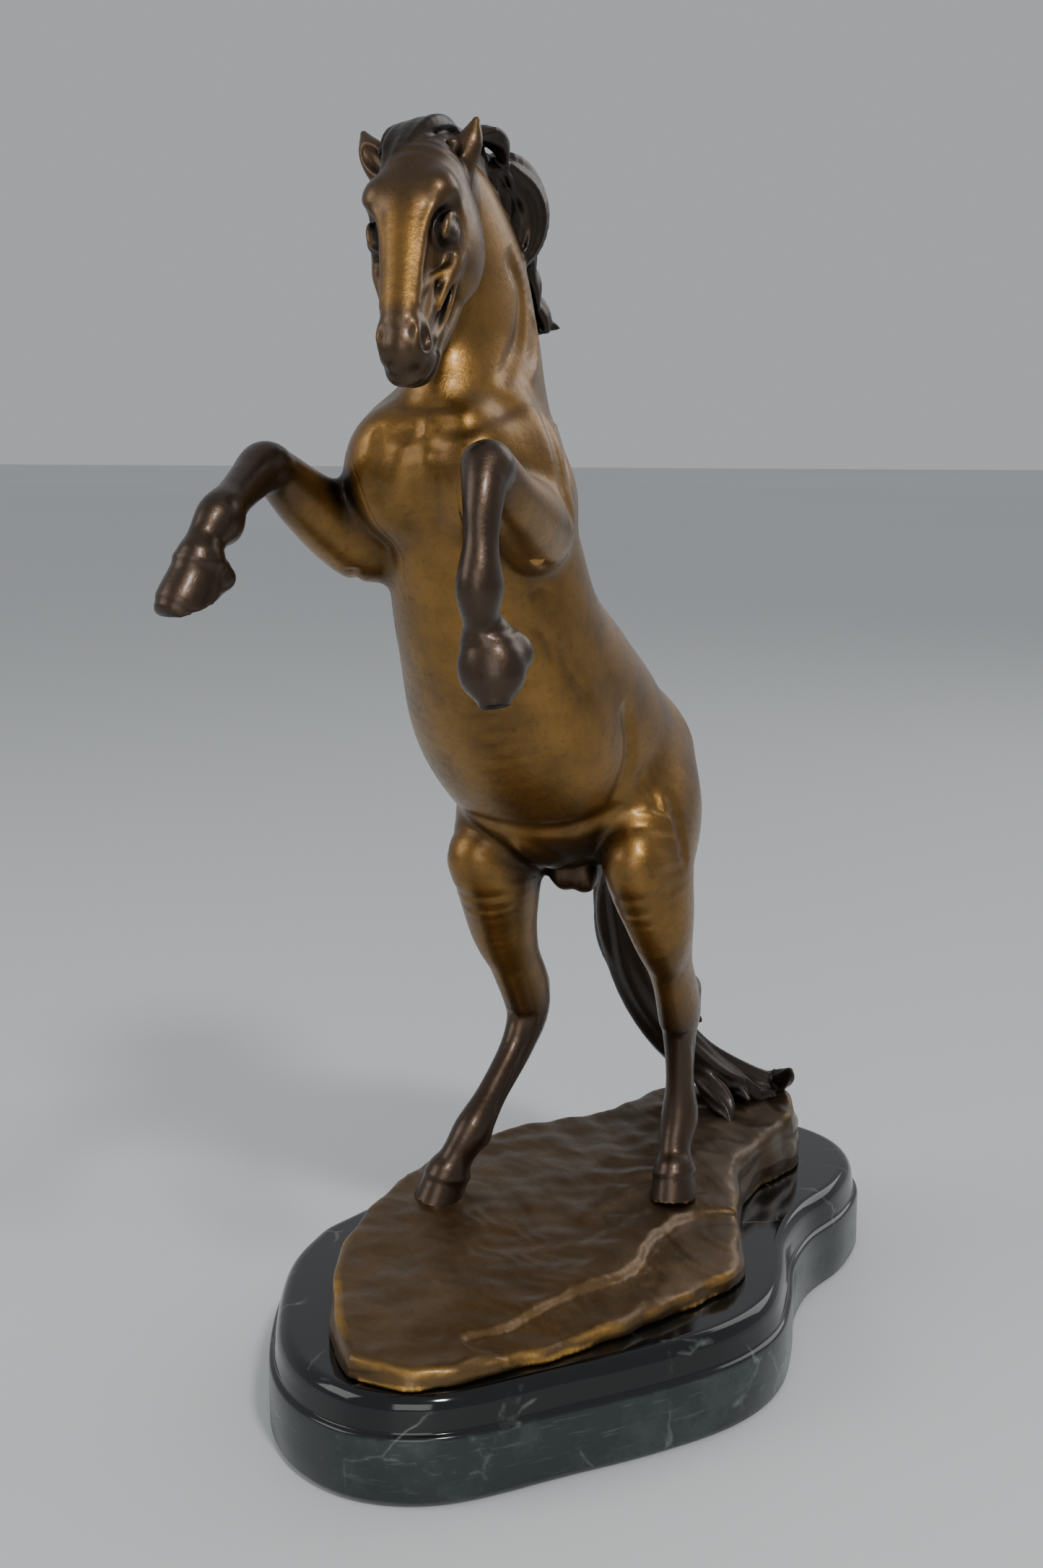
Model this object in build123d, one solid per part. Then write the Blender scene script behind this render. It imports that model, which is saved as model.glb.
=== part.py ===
"""Bronze statuette of a rearing horse on a rock ground and a moulded marble base.

Millimetres. +Z is up, the horse faces -Y and its left side is +X. The origin is on the plane that the
felt rests on, below the horse's stance. Every casting, stud, nut, washer, dowel and screw is a node of
its own. Each STEP file in parts/ is one node.
"""

import math
import os

from build123d import *

os.makedirs("parts", exist_ok=True)

# ---------------------------------------------------------------- driving dimensions
horse_height = 308.0  # rear hoof to poll; the stance and the outlines follow it
drawn_height = 308.0  # the height that the stations below are drawn at
base_spread = 1.0  # marble outline against the stance it carries

felt_thickness = 1.5
felt_inset = 2.5
wall_height = 18.5  # upright lower band of the marble
mould_height = 9.5  # moulded upper band of the marble
mould_inset = 5.5  # how far the top face stands in from the wall
ground_rise = 14.2  # ground's top above its foot, over the origin
ground_wall = 4.5
ground_skin = 5.0  # thickness of the ground's top
ground_draft = 9.0  # lean of the ground's sides, degrees

body_wall = 4.0
neck_wall = 3.5
sleeve_wall = 2.5  # sleeve on the body that the neck slides over
sleeve_height = 8.0
sleeve_end_gap = 0.5  # room over the sleeve in its socket
fit_gap = 0.05  # radial room round every sleeve, dowel, pin, plug and stud
hole_end_gap = 0.4  # room past the end of a dowel
overcut = 5.0  # how far a cut runs on past the surface it opens

screw_radius = 3.0
screw_head_radius = 5.0
screw_head_height = 4.0
screw_engagement = 7.0
screw_hole_gap = 0.4  # radial room of a screw in the marble
washer_radius = 8.0
washer_thickness = 1.6
sink_gap = 1.5  # radial room round a washer in its counterbore
sink_depth = 7.5  # counterbore in the marble, over its underside
boss_radius = 7.0

stud_radius = 2.0
stud_in_hoof = 9.0
stud_in_tail = 5.0
stud_past_nut = 0.8
nut_across_flats = 7.0
nut_height = 2.8
stud_washer_radius = 5.0
stud_washer_thickness = 0.8

foreleg_dowel_radius = 2.0
foreleg_dowel_half = 6.0
thigh_dowel_radius = 3.0
thigh_dowel_half = 7.0
tail_dowel_radius = 1.6
tail_dowel_half = 4.0
neck_pin_radius = 1.2
neck_pin_set_in = 0.5  # pin ends stand below the chased skin
neck_taper = 0.93  # the neck's width at its pins, against its width at the joint
plug_radius = 4.0

# ---------------------------------------------------------------- derived heights
size = horse_height / drawn_height
marble_bottom = felt_thickness
marble_top = marble_bottom + wall_height + mould_height
ground_slope_x = -0.112  # rise of the ground's top along X and Y
ground_slope_y = 0.080
ground_normal = Vector(-ground_slope_x, -ground_slope_y, 1).normalized()
stand_height = marble_top + ground_rise
drawn_stand = 43.7  # stand height that the stations are drawn at


def place(x, y, z):
    """A drawn point, scaled about the origin's upright and set on the ground."""
    return Vector(x * size, y * size, stand_height + (z - drawn_stand) * size)


def top_plane(drop=0.0):
    """The ground's sloping top, or the plane that lies drop below it."""
    return Plane(origin=Vector(0, 0, stand_height) - ground_normal * drop, z_dir=ground_normal)


def on_top(x, y):
    """The point of the ground's top at a drawn x and y."""
    px, py = x * size, y * size
    return Vector(px, py, stand_height + ground_slope_x * px + ground_slope_y * py)


# ---------------------------------------------------------------- stations: x, y, z, half width, half depth
trunk_line = [
    (-2, 46, 150, 8, 9), (-3, 40, 160, 23, 23), (-3, 25, 176, 30, 32), (-4, 1, 196, 30.5, 34),
    (-4, -18, 216, 29, 34), (-4, -32, 236, 26.5, 33), (-4, -43, 255, 24, 32), (-4, -51, 271, 21, 28),
    (-4, -57, 284, 12, 18),
]
neck_line = [
    (-4, -37, 262, 19, 27), (-4, -40, 278, 17, 28), (-3.5, -43, 293, 14.5, 27), (-2, -48, 309, 12, 24),
    (-0.5, -57, 324, 10.5, 19), (0.5, -67, 337, 9.5, 13),
]
head_line = [
    (1, -70, 343, 7, 6), (2, -78, 335, 11.5, 12), (3, -86, 322, 12.5, 16.5), (5, -93, 310, 9.5, 14.5),
    (7, -99, 299, 7.8, 11), (8, -105, 289, 7.8, 9), (9, -109, 282, 5.5, 6.5),
]
right_foreleg_line = [
    (-15, -34, 258, 9, 15), (-22, -47, 250, 10, 14), (-27, -58, 246, 10.5, 11.5), (-30, -67, 249, 10, 11.5),
    (-33, -82, 257, 8, 9), (-34, -93, 264, 6.6, 7.2), (-34, -99, 265.5, 6.8, 7), (-34, -108, 262, 5.6, 6),
    (-33, -118, 257, 5, 5.4), (-31, -126, 254, 6, 6.8), (-29.5, -130, 249, 5, 5.6), (-28.5, -133, 243, 6.2, 7),
    (-28.5, -136, 233, 8.4, 10),
]
left_foreleg_line = [
    (9, -34, 256, 9, 15), (16, -48, 247, 10, 14), (21, -59, 242, 10.5, 11.5), (23, -68, 244, 10, 11.5),
    (25.5, -84, 252, 8, 9), (27, -95, 261, 6.8, 7.4), (27.5, -101, 262, 7, 7.2), (28, -106, 253, 5.6, 6),
    (27.5, -109, 240, 5, 5.4), (27, -110, 230, 6.2, 7), (28, -107, 223, 5.2, 5.8), (29, -105, 217, 7, 7.6),
    (30.5, -106, 208, 7, 7),
]
right_hind_line = [
    (-13, 32, 176, 16, 22), (-19, 15, 162, 17.5, 24), (-24, 4, 146, 14.5, 20), (-24, 8, 130, 10.5, 14),
    (-22, 16, 114, 7, 9.5), (-21, 25, 98, 6.5, 9.5), (-22, 20, 86, 5, 6.6), (-24, 6, 74, 4.6, 5.6),
    (-26, -4, 65, 5.8, 6.6), (-29, -8, 58, 5.4, 6.2), (-31.5, -10, 53, 7.4, 8.4), (-34, -13, 42, 9.2, 11),
]
left_hind_line = [
    (9, 36, 178, 17, 23), (18, 20, 164, 18, 25), (24, 8, 148, 14.5, 20), (26, 12, 131, 10.5, 14),
    (26, 22, 114, 7, 9.5), (26, 32, 100, 6.5, 9.5), (26, 34, 90, 5, 6.6), (26, 35, 76, 4.8, 5.6),
    (26, 35, 65, 6, 6.8), (26, 31, 56, 5.4, 6.2), (27, 28, 50, 7.4, 8.4), (28, 23, 38, 9.2, 11),
]
tail_line = [
    (-2, 42, 174, 5, 6), (-3, 57, 165, 6.5, 7.5), (-8, 69, 144, 8.5, 9), (-10, 76, 118, 10, 9),
    (-7.5, 82, 96, 10, 9), (0, 90, 76, 9, 9), (11, 97, 61, 8.5, 7.5), (24, 104, 50, 7, 5.5), (34, 109, 43, 5, 4),
]
mane_line = [
    (2, -76, 344, 5, 5), (2, -66, 346, 6, 6), (1.5, -53, 342, 6, 6), (0, -38, 331, 6, 8), (-2, -26, 313, 6, 8),
    (-3.5, -17, 294, 5.5, 6),
]
ground_outline = [
    (-15, -99), (-4, -99.5), (8, -95), (20, -79), (33, -60), (50, -25), (58, -2), (55, 14), (43, 46), (40, 68),
    (45, 98), (36, 120), (12, 112), (-5, 98), (-15, 72), (-28, 54), (-40, 34), (-49, 5), (-51, -20),
    (-47, -48), (-38, -70), (-26, -88),
]
base_outline = [
    (-76, -13), (-72, -38), (-60, -65), (-46, -87), (-29, -101), (-8, -106), (14, -97), (36, -71), (53, -50),
    (67, -27), (72, -4), (68, 20), (62, 42), (60.5, 65), (64.5, 88), (62, 113), (50, 132), (30, 142),
    (8, 139), (-12, 122), (-28, 95), (-45, 62), (-66, 28),
]
right_ear_line = [(-7, -75, 331, 4.5, 4), (-14, -73, 338, 3.8, 3), (-20, -71, 344, 1.3, 1.2)]
left_ear_line = [(6, -73, 333, 4.5, 4), (7.5, -70, 341, 3.8, 3), (8, -67, 348, 1.3, 1.2)]
screw_places = [(-22, -62), (34, -16), (14, 78)]  # under the ground's bosses
hoof_places = [(-33, -12), (27.6, 26)]  # studs of the right and left hind hooves
tail_place = (20, 102)
plug_stations = [(3, 1), (4, -1)]  # trunk station, and 1 for its back or -1 for its belly
neck_joint_station = 2
foreleg_joint_station = 2
hind_joint_station = 2


# ---------------------------------------------------------------- shared shapes
def ring(centre, along, half_width, half_depth):
    """An elliptical section square to along, its width kept across the horse."""
    across = Vector(1, 0, 0) - along * along.X
    return Plane(origin=centre, x_dir=across, z_dir=along) * Ellipse(half_width * size, half_depth * size)


def directions(line):
    """The centres of a line of stations, and the way it runs at each of them."""
    centres = [place(*station[:3]) for station in line]
    last = len(centres) - 1
    return centres, [
        (centres[min(i + 1, last)] - centres[max(i - 1, 0)]).normalized() for i in range(len(centres))
    ]


def limb(line, first=0, last=None, thinner=0.0, ruled=False):
    """A limb through its stations from first to last; thinner makes its core instead."""
    centres, ways = directions(line)
    chosen = range(first, (len(line) if last is None else last + 1))
    return loft([
        ring(centres[i], ways[i], line[i][3] - thinner / size, line[i][4] - thinner / size) for i in chosen
    ], ruled=ruled)


def rod(centre, way, radius, before, after):
    """A cylinder about the line through centre, from before it to after it."""
    start = centre - way * before
    return Plane(origin=start, z_dir=way) * Cylinder(
        radius, before + after, align=(Align.CENTER, Align.CENTER, Align.MIN)
    )


def outline_face(points, inset=0.0, height=0.0, spread=1.0):
    """A flat face inside a smooth closed curve through the drawn points, moved inwards by inset."""
    scaled = [(x * spread * size, y * spread * size) for x, y in points]
    moved = []
    for i, (x, y) in enumerate(scaled):
        ax, ay = scaled[i - 1]
        bx, by = scaled[(i + 1) % len(scaled)]
        length = math.hypot(bx - ax, by - ay)
        moved.append((x - (by - ay) / length * inset, y + (bx - ax) / length * inset, height))
    return make_face(Spline(moved, periodic=True))


def largest(shape):
    """The biggest solid of a shape, so that a cut leaves no crumbs behind."""
    return max(shape.solids(), key=lambda solid: solid.volume)


def save(name, *solids):
    """Write one node, made of one or more separate solids."""
    whole = solids[0] if len(solids) == 1 else Compound(children=list(solids))
    export_step(whole, f"parts/{name}.step")
    print(f"{name:28s} solids {len(solids)}  volume {sum(s.volume for s in solids):9.0f}")


# ---------------------------------------------------------------- marble, felt and base screws
felt = extrude(outline_face(base_outline, felt_inset, 0, base_spread), felt_thickness)

shoulder = marble_bottom + wall_height
marble = extrude(outline_face(base_outline, 0, marble_bottom, base_spread), wall_height)
mould_steps = [(0.20, 0.0), (0.16, 0.16), (0.30, 0.36), (0.62, 0.50), (0.84, 0.72), (1.0, 1.0)]
marble += loft([
    outline_face(base_outline, mould_inset * inwards, shoulder + mould_height * up, base_spread)
    for inwards, up in mould_steps
], ruled=True)

screw_top = marble_top + screw_engagement
seat_height = marble_bottom + sink_depth
screws, washers = [], []
for x, y in screw_places:
    foot = Vector(x * size, y * size, 0)
    up = Vector(0, 0, 1)
    marble -= rod(foot, up, screw_radius + screw_hole_gap, 0, marble_top + overcut)
    marble -= rod(foot, up, washer_radius + sink_gap, 0, seat_height)
    shank = rod(foot, up, screw_radius, -(seat_height - washer_thickness), screw_top)
    head_bottom = seat_height - washer_thickness - screw_head_height
    head = Pos(foot.X, foot.Y, head_bottom) * extrude(RegularPolygon(screw_head_radius, 6), screw_head_height)
    screws.append(largest(shank + head))
    washer = rod(foot, up, washer_radius, -(seat_height - washer_thickness), seat_height)
    washers.append(largest(washer - rod(foot, up, screw_radius + fit_gap, 0, marble_top)))

# ---------------------------------------------------------------- rock ground with its bosses
tall = ground_rise * 2 + 4 * overcut * size  # the blank, before its sloping top is cut
lean = tall * math.tan(math.radians(ground_draft))
rock = loft([outline_face(ground_outline, 0, marble_top), outline_face(ground_outline, lean, marble_top + tall)],
            ruled=True)
rock = split(rock, bisect_by=top_plane(), keep=Keep.BOTTOM)
hollow = loft([
    outline_face(ground_outline, ground_wall, marble_top),
    outline_face(ground_outline, ground_wall + lean, marble_top + tall),
], ruled=True)
hollow = split(hollow, bisect_by=top_plane(ground_skin), keep=Keep.BOTTOM)
for x, y in screw_places:
    hollow -= rod(Vector(x * size, y * size, marble_top), Vector(0, 0, 1), boss_radius, 0, tall)
ground = rock - hollow
for x, y in screw_places:
    thread = rod(Vector(x * size, y * size, marble_top), Vector(0, 0, 1), screw_radius + fit_gap, 0,
                 screw_engagement + hole_end_gap)
    ground -= thread


# ---------------------------------------------------------------- horse castings
def joint_of(line, station):
    """The middle of a flat joint across a limb, and the way the limb runs through it."""
    centres, ways = directions(line)
    return centres[station], ways[station]


trunk = limb(trunk_line)
neck_low = limb(neck_line, 0, neck_joint_station)
neck_high = limb(neck_line, neck_joint_station)
neck_joint, neck_way = joint_of(neck_line, neck_joint_station)

limbs = {}
for name, line, station in (
    ("right_foreleg", right_foreleg_line, foreleg_joint_station),
    ("left_foreleg", left_foreleg_line, foreleg_joint_station),
    ("right_hind_leg", right_hind_line, hind_joint_station),
    ("left_hind_leg", left_hind_line, hind_joint_station),
):
    centre, way = joint_of(line, station)
    upper = limb(line, 0, station, ruled=True)
    lower = limb(line, station, ruled=True)
    limbs[name] = {"centre": centre, "way": way, "upper": upper, "lower": lower}

outside = trunk + neck_low
for part in limbs.values():
    outside += part["upper"]
outside = largest(outside)
core = limb(trunk_line, 1, thinner=body_wall)
channel = limb(neck_line, 0, neck_joint_station, thinner=neck_wall + sleeve_wall + fit_gap)
body = largest(outside - core - channel)

# the neck's joint: a sleeve on the body, a socket in the neck, and two pins through both
neck_width, neck_depth = neck_line[neck_joint_station][3:]


def neck_oval(thinner, height):
    """An upright oval block on the neck's joint, thinner than the neck all round."""
    oval = ring(neck_joint, neck_way, neck_width - thinner / size, neck_depth - thinner / size)
    return extrude(oval, height, dir=neck_way)


sleeve = neck_oval(neck_wall + fit_gap, sleeve_height)
sleeve -= neck_oval(neck_wall + sleeve_wall + fit_gap, sleeve_height)
body = largest(body + sleeve)
neck_casting = neck_high
for line in (head_line, mane_line, right_ear_line, left_ear_line):
    neck_casting += limb(line)
neck_casting = largest(neck_casting - outside)
neck_casting -= neck_oval(neck_wall, sleeve_height + sleeve_end_gap)
neck_casting -= limb(neck_line, neck_joint_station, neck_joint_station + 2, thinner=neck_wall)

pin_middle = neck_joint + neck_way * (sleeve_height / 2)
pin_inner = neck_width * size - neck_wall - sleeve_wall + fit_gap
pin_outer = neck_width * size * neck_taper - neck_pin_set_in
neck_pins = []
for side in (-1, 1):
    outwards = Vector(side, 0, 0)
    hole = rod(pin_middle, outwards, neck_pin_radius + fit_gap, 0, neck_width * size + overcut)
    body -= hole
    neck_casting -= hole
    neck_pins.append(rod(pin_middle, outwards, neck_pin_radius, -pin_inner, pin_outer))

# plugs in the holes that the core was cleared through
plugs = []
centres, ways = directions(trunk_line)
for station, side in plug_stations:
    rise = ways[station].cross(Vector(1, 0, 0)).normalized() * -side
    reach = trunk_line[station][4] * size + overcut
    plugs.append(largest((rod(centres[station], rise, plug_radius, 0, reach) & outside) - core - channel))
    body -= rod(centres[station], rise, plug_radius + fit_gap, 0, reach)

# dowels across the flat joints of the legs
dowels = {"foreleg_dowels": [], "thigh_dowels": []}
for name, part in limbs.items():
    fore = "fore" in name
    radius = foreleg_dowel_radius if fore else thigh_dowel_radius
    half = foreleg_dowel_half if fore else thigh_dowel_half
    hole = rod(part["centre"], part["way"], radius + fit_gap, half + hole_end_gap, half + hole_end_gap)
    body -= hole
    part["lower"] -= hole
    dowels["foreleg_dowels" if fore else "thigh_dowels"].append(
        rod(part["centre"], part["way"], radius, half, half)
    )

# hind hooves and tail, cut to stand on the ground
under_ground = Plane(origin=Vector(0, 0, stand_height), z_dir=ground_normal) * Box(
    2 * horse_height, 2 * horse_height, horse_height, align=(Align.CENTER, Align.CENTER, Align.MAX)
)
for name in limbs:
    lower = limbs[name]["lower"]
    for other in (under_ground, trunk) if "hind" in name else (trunk,):
        lower = largest(lower - other)
    limbs[name]["lower"] = lower
right_hoof = limbs["right_hind_leg"]["lower"]
left_hoof = limbs["left_hind_leg"]["lower"]
tail = largest(limb(tail_line) - under_ground)
tail = largest(tail - trunk)


def way_out(solid, start, end):
    """The point where a line from inside a solid leaves it."""
    for _ in range(30):
        middle = (start + end) * 0.5
        if solid.is_inside(middle):
            start = middle
        else:
            end = middle
    return start


tail_root, tail_next = place(*tail_line[0][:3]), place(*tail_line[2][:3])
tail_joint = way_out(outside, tail_root, tail_next)
tail_way = (tail_next - tail_root).normalized()
tail_dowel = rod(tail_joint, tail_way, tail_dowel_radius, tail_dowel_half, tail_dowel_half)
hole = rod(tail_joint, tail_way, tail_dowel_radius + fit_gap, tail_dowel_half + hole_end_gap,
           tail_dowel_half + hole_end_gap)
body -= hole
tail -= hole

# studs up through the ground, each with a washer and a nut under the ground's top
studs, stud_washers, nuts = [], [], []
nut_drop = ground_skin + stud_washer_thickness + nut_height
standing = [(place_, stud_in_hoof) for place_ in hoof_places] + [(tail_place, stud_in_tail)]
for (x, y), depth in standing:
    foot = on_top(x, y)
    studs.append(rod(foot, ground_normal, stud_radius, nut_drop + stud_past_nut, depth))
    hole = rod(foot, ground_normal, stud_radius + fit_gap, nut_drop + overcut, depth + hole_end_gap)
    ground -= hole
    right_hoof -= hole
    left_hoof -= hole
    tail -= hole
    disc = rod(foot, ground_normal, stud_washer_radius, ground_skin + stud_washer_thickness, -ground_skin)
    stud_washers.append(disc - hole)
    blank = Plane(origin=foot - ground_normal * nut_drop, z_dir=ground_normal) * extrude(
        RegularPolygon(nut_across_flats / 2, 6, major_radius=False), nut_height
    )
    nuts.append(blank - hole)

# ---------------------------------------------------------------- nodes
save("felt_pad", largest(felt))
save("marble_base", largest(marble))
save("base_screws", *screws)
save("base_washers", *washers)
save("ground_casting", largest(ground))
save("body_casting", largest(body))
save("neck_casting", largest(neck_casting))
save("neck_pins", *neck_pins)
save("core_plugs", *plugs)
save("right_foreleg_casting", largest(limbs["right_foreleg"]["lower"]))
save("left_foreleg_casting", largest(limbs["left_foreleg"]["lower"]))
save("right_hind_leg_casting", largest(right_hoof))
save("left_hind_leg_casting", largest(left_hoof))
save("tail_casting", largest(tail))
save("foreleg_dowels", *dowels["foreleg_dowels"])
save("thigh_dowels", *dowels["thigh_dowels"])
save("tail_dowel", tail_dowel)
save("ground_studs", *[largest(s) for s in studs])
save("stud_washers", *[largest(w) for w in stud_washers])
save("stud_nuts", *[largest(n) for n in nuts])
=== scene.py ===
import math
from concurrent.futures import ThreadPoolExecutor

import bpy
import numpy as np
import openvdb
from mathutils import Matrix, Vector


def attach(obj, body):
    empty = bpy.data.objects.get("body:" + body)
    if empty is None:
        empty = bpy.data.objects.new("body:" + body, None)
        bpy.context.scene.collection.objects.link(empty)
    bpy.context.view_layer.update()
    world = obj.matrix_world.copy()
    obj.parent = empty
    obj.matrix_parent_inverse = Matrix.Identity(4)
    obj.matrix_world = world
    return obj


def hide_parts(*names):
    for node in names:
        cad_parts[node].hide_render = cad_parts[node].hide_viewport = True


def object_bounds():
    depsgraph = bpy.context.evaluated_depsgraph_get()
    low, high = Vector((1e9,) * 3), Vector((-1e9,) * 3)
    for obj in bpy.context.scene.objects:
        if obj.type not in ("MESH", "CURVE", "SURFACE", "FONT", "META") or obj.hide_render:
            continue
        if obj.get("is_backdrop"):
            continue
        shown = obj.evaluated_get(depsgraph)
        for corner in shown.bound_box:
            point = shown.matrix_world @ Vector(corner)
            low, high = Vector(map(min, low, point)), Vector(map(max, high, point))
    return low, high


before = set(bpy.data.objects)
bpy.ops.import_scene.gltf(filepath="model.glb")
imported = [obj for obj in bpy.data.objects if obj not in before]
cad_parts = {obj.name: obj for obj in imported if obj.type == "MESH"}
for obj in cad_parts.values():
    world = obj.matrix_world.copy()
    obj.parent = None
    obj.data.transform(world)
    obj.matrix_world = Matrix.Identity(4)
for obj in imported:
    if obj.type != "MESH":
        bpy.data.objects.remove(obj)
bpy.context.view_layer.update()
mm = 0.001
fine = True
print("frame loaded")


def linear(hexColour):
    channels = [int(hexColour[i:i + 2], 16) / 255 for i in (1, 3, 5)]
    return tuple(c / 12.92 if c <= 0.04045 else ((c + 0.055) / 1.055) ** 2.4 for c in channels) + (1.0,)


def join(material, node, values):
    # a value that is another node's output is linked, any other is set on the socket itself
    for name, value in values.items():
        if isinstance(value, bpy.types.NodeSocket):
            material.node_tree.links.new(value, node.inputs[name])
        else:
            node.inputs[name].default_value = value


def addNode(material, kind, values=None, output=0, **properties):
    node = material.node_tree.nodes.new(kind)
    for name, value in properties.items():
        setattr(node, name, value)
    join(material, node, values or {})
    return node.outputs[output]


# the clay is a distance field in millimetres, below zero inside
clay = {
    "far": 30.0,  # the field's value where no form reaches
    "margin": 8,  # how far past its skin a form still counts
    "block": 4,  # the sparse grid's cells, in fine cells
    "chunk": 30000,  # points that one thread takes at a time
    "clip": 3.0,  # deepest and highest value kept on the grid
}


def smoothLine(stations, steps=4):
    points = np.array(stations, float)
    padded = np.vstack([2 * points[0] - points[1], points, 2 * points[-1] - points[-2]])
    result = []
    for i in range(1, len(padded) - 2):
        p0, p1, p2, p3 = padded[i - 1:i + 3]
        for t in np.linspace(0, 1, steps, endpoint=False):
            result.append(0.5 * (2 * p1 + (p2 - p0) * t + (2 * p0 - 5 * p1 + 4 * p2 - p3) * t * t
                                 + (3 * p1 - p0 - 3 * p2 + p3) * t ** 3))
    result.append(padded[-2])
    result = np.array(result)
    if result.shape[1] > 3:
        result[:, 3:] = np.maximum(result[:, 3:], 0.3)
    return result


def tubeField(points, form):
    # how far each point is from a tube of oval sections, negative inside
    line, strands = form["line"], form.get("strands")
    places, last = line[:, :3], len(line) - 2
    best = np.full(len(points), 1e6, np.float32)
    spot = np.zeros(len(points), np.float32)
    for number, (a, b) in enumerate(zip(places[:-1], places[1:])):
        along = b - a
        offset = points - a
        t = np.clip(offset @ (along / (along @ along)), 0, 1)
        offset -= t[:, None] * along
        far = np.einsum("ij,ij->i", offset, offset)
        closer = far < best
        best[closer] = far[closer]
        spot[closer] = number + t[closer]
    number = np.minimum(spot.astype(int), last)
    share = (spot - number)[:, None]
    middle = line[number] * (1 - share) + line[number + 1] * share
    way = form["ways"][number] * (1 - share) + form["ways"][number + 1] * share
    way /= np.linalg.norm(way, axis=1)[:, None]
    across = form["across"] - way * (way @ form["across"])[:, None]
    across /= np.linalg.norm(across, axis=1)[:, None] + 1e-6
    offset = points - middle[:, :3]
    wide, deep = middle[:, 3], middle[:, 4]
    side = np.einsum("ij,ij->i", offset, across)
    over = np.einsum("ij,ij->i", offset, way)
    rise = np.einsum("ij,ij->i", offset, np.cross(way, across))
    size = np.minimum(wide, deep)
    ratio = np.sqrt((side / wide) ** 2 + (rise / deep) ** 2 + (over / size) ** 2) + 1e-6
    distance = (ratio - 1) * np.sqrt(best) / ratio
    if strands:
        turns = np.arctan2(rise / deep, side / wide) * strands[0] + spot / len(line) * strands[2]
        distance = distance + strands[1] * (0.5 - 0.5 * np.cos(turns)) * np.minimum(size / 3, 1)
    if form.get("flat"):
        way = (places[-1] - places[-2]) if form["flat"] is True else np.array(form["flat"])
        distance = np.maximum(distance, (points - places[-1]) @ (way / np.linalg.norm(way)))
    return distance


def ballField(points, form):
    offset = (points - form["centre"]) @ form["axes"].T
    ratio = np.sqrt(((offset / form["radii"]) ** 2).sum(1)) + 1e-6
    far = np.sqrt((offset ** 2).sum(1)) + 1e-6
    return (ratio - 1) * far / ratio


def softMin(a, b, k):
    if k <= 0:
        return np.minimum(a, b)
    h = np.maximum(k - np.abs(a - b), 0) / k
    return np.minimum(a, b) - h * h * k * 0.25


def tube(stations, soft=4, op="add", across=(1, 0, 0), steps=4, **more):
    line = smoothLine(stations, steps)
    reach = line[:, 3:].max() + clay["margin"] + soft
    ways = np.gradient(line[:, :3], axis=0)
    ways /= np.linalg.norm(ways, axis=1)[:, None]
    return dict(kind="tube", line=line.astype(np.float32), ways=ways.astype(np.float32), soft=soft, op=op,
                across=np.array(across, np.float32), low=line[:, :3].min(0) - reach,
                high=line[:, :3].max(0) + reach, **more)


def ball(centre, radii, along=(0, 0, 1), soft=4, op="add", across=(1, 0, 0), **more):
    way = np.array(along, float) / np.linalg.norm(along)
    side = np.array(across, float)
    side = side - way * np.dot(side, way)
    side /= np.linalg.norm(side)
    reach = max(radii) + clay["margin"] + soft
    centre = np.array(centre, np.float32)
    return dict(kind="ball", centre=centre, radii=np.array(radii, np.float32), soft=soft, op=op,
                axes=np.array([way, side, np.cross(way, side)], np.float32),
                low=centre - reach, high=centre + reach, **more)


def stroke(path, wide, rise, closed=False):
    # a ridge (rise above 0) or a groove (below 0) that follows a path over the surface
    line = smoothLine(path, 5)
    reach = wide * 3 + 1
    return dict(kind="stroke", line=line, wide=wide, rise=rise, closed=closed,
                low=line.min(0) - reach, high=line.max(0) + reach)


def fieldOf(points, forms):
    points = np.asarray(points, np.float32)
    field = np.full(len(points), clay["far"], np.float32)
    corner, farCorner = points.min(0), points.max(0)
    for form in forms:
        if (form["low"] > farCorner).any() or (form["high"] < corner).any():
            continue
        near = np.all((points > form["low"]) & (points < form["high"]), axis=1)
        if not near.any():
            continue
        here = points[near]
        if form["kind"] == "stroke":
            line, n = form["line"], len(form["line"])
            best = np.full(len(here), 1e6, np.float32)
            share = np.zeros(len(here), np.float32)
            for i, (a, b) in enumerate(zip(line[:-1], line[1:])):
                along = b - a
                t = np.clip((here - a) @ along / np.dot(along, along), 0, 1)
                far = ((here - a - t[:, None] * along) ** 2).sum(1)
                closer = far < best
                best = np.where(closer, far, best)
                share = np.where(closer, (i + t) / (n - 1), share)
            taper = 1 if form["closed"] else np.clip(np.minimum(share, 1 - share) * 6, 0.0, 1)
            field[near] -= form["rise"] * taper * np.exp(-best / form["wide"] ** 2)
            continue
        distance = tubeField(here, form) if form["kind"] == "tube" else ballField(here, form)
        if form["op"] == "add":
            field[near] = softMin(field[near], distance, form["soft"])
        else:
            field[near] = -softMin(-field[near], distance, form["soft"])
    return field


def settle(path, forms, rounds=4):
    # moves the points of a path onto the clay's surface
    points = np.array(path, float)
    step = 0.5
    for _ in range(rounds):
        value = fieldOf(points, forms)
        slope = np.stack([fieldOf(points + np.eye(3)[i] * step, forms) - value for i in range(3)], 1) / step
        size = (slope ** 2).sum(1)[:, None] + 1e-3
        points = points - np.clip(value[:, None] * slope / size, -4, 4)
    return points


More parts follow.
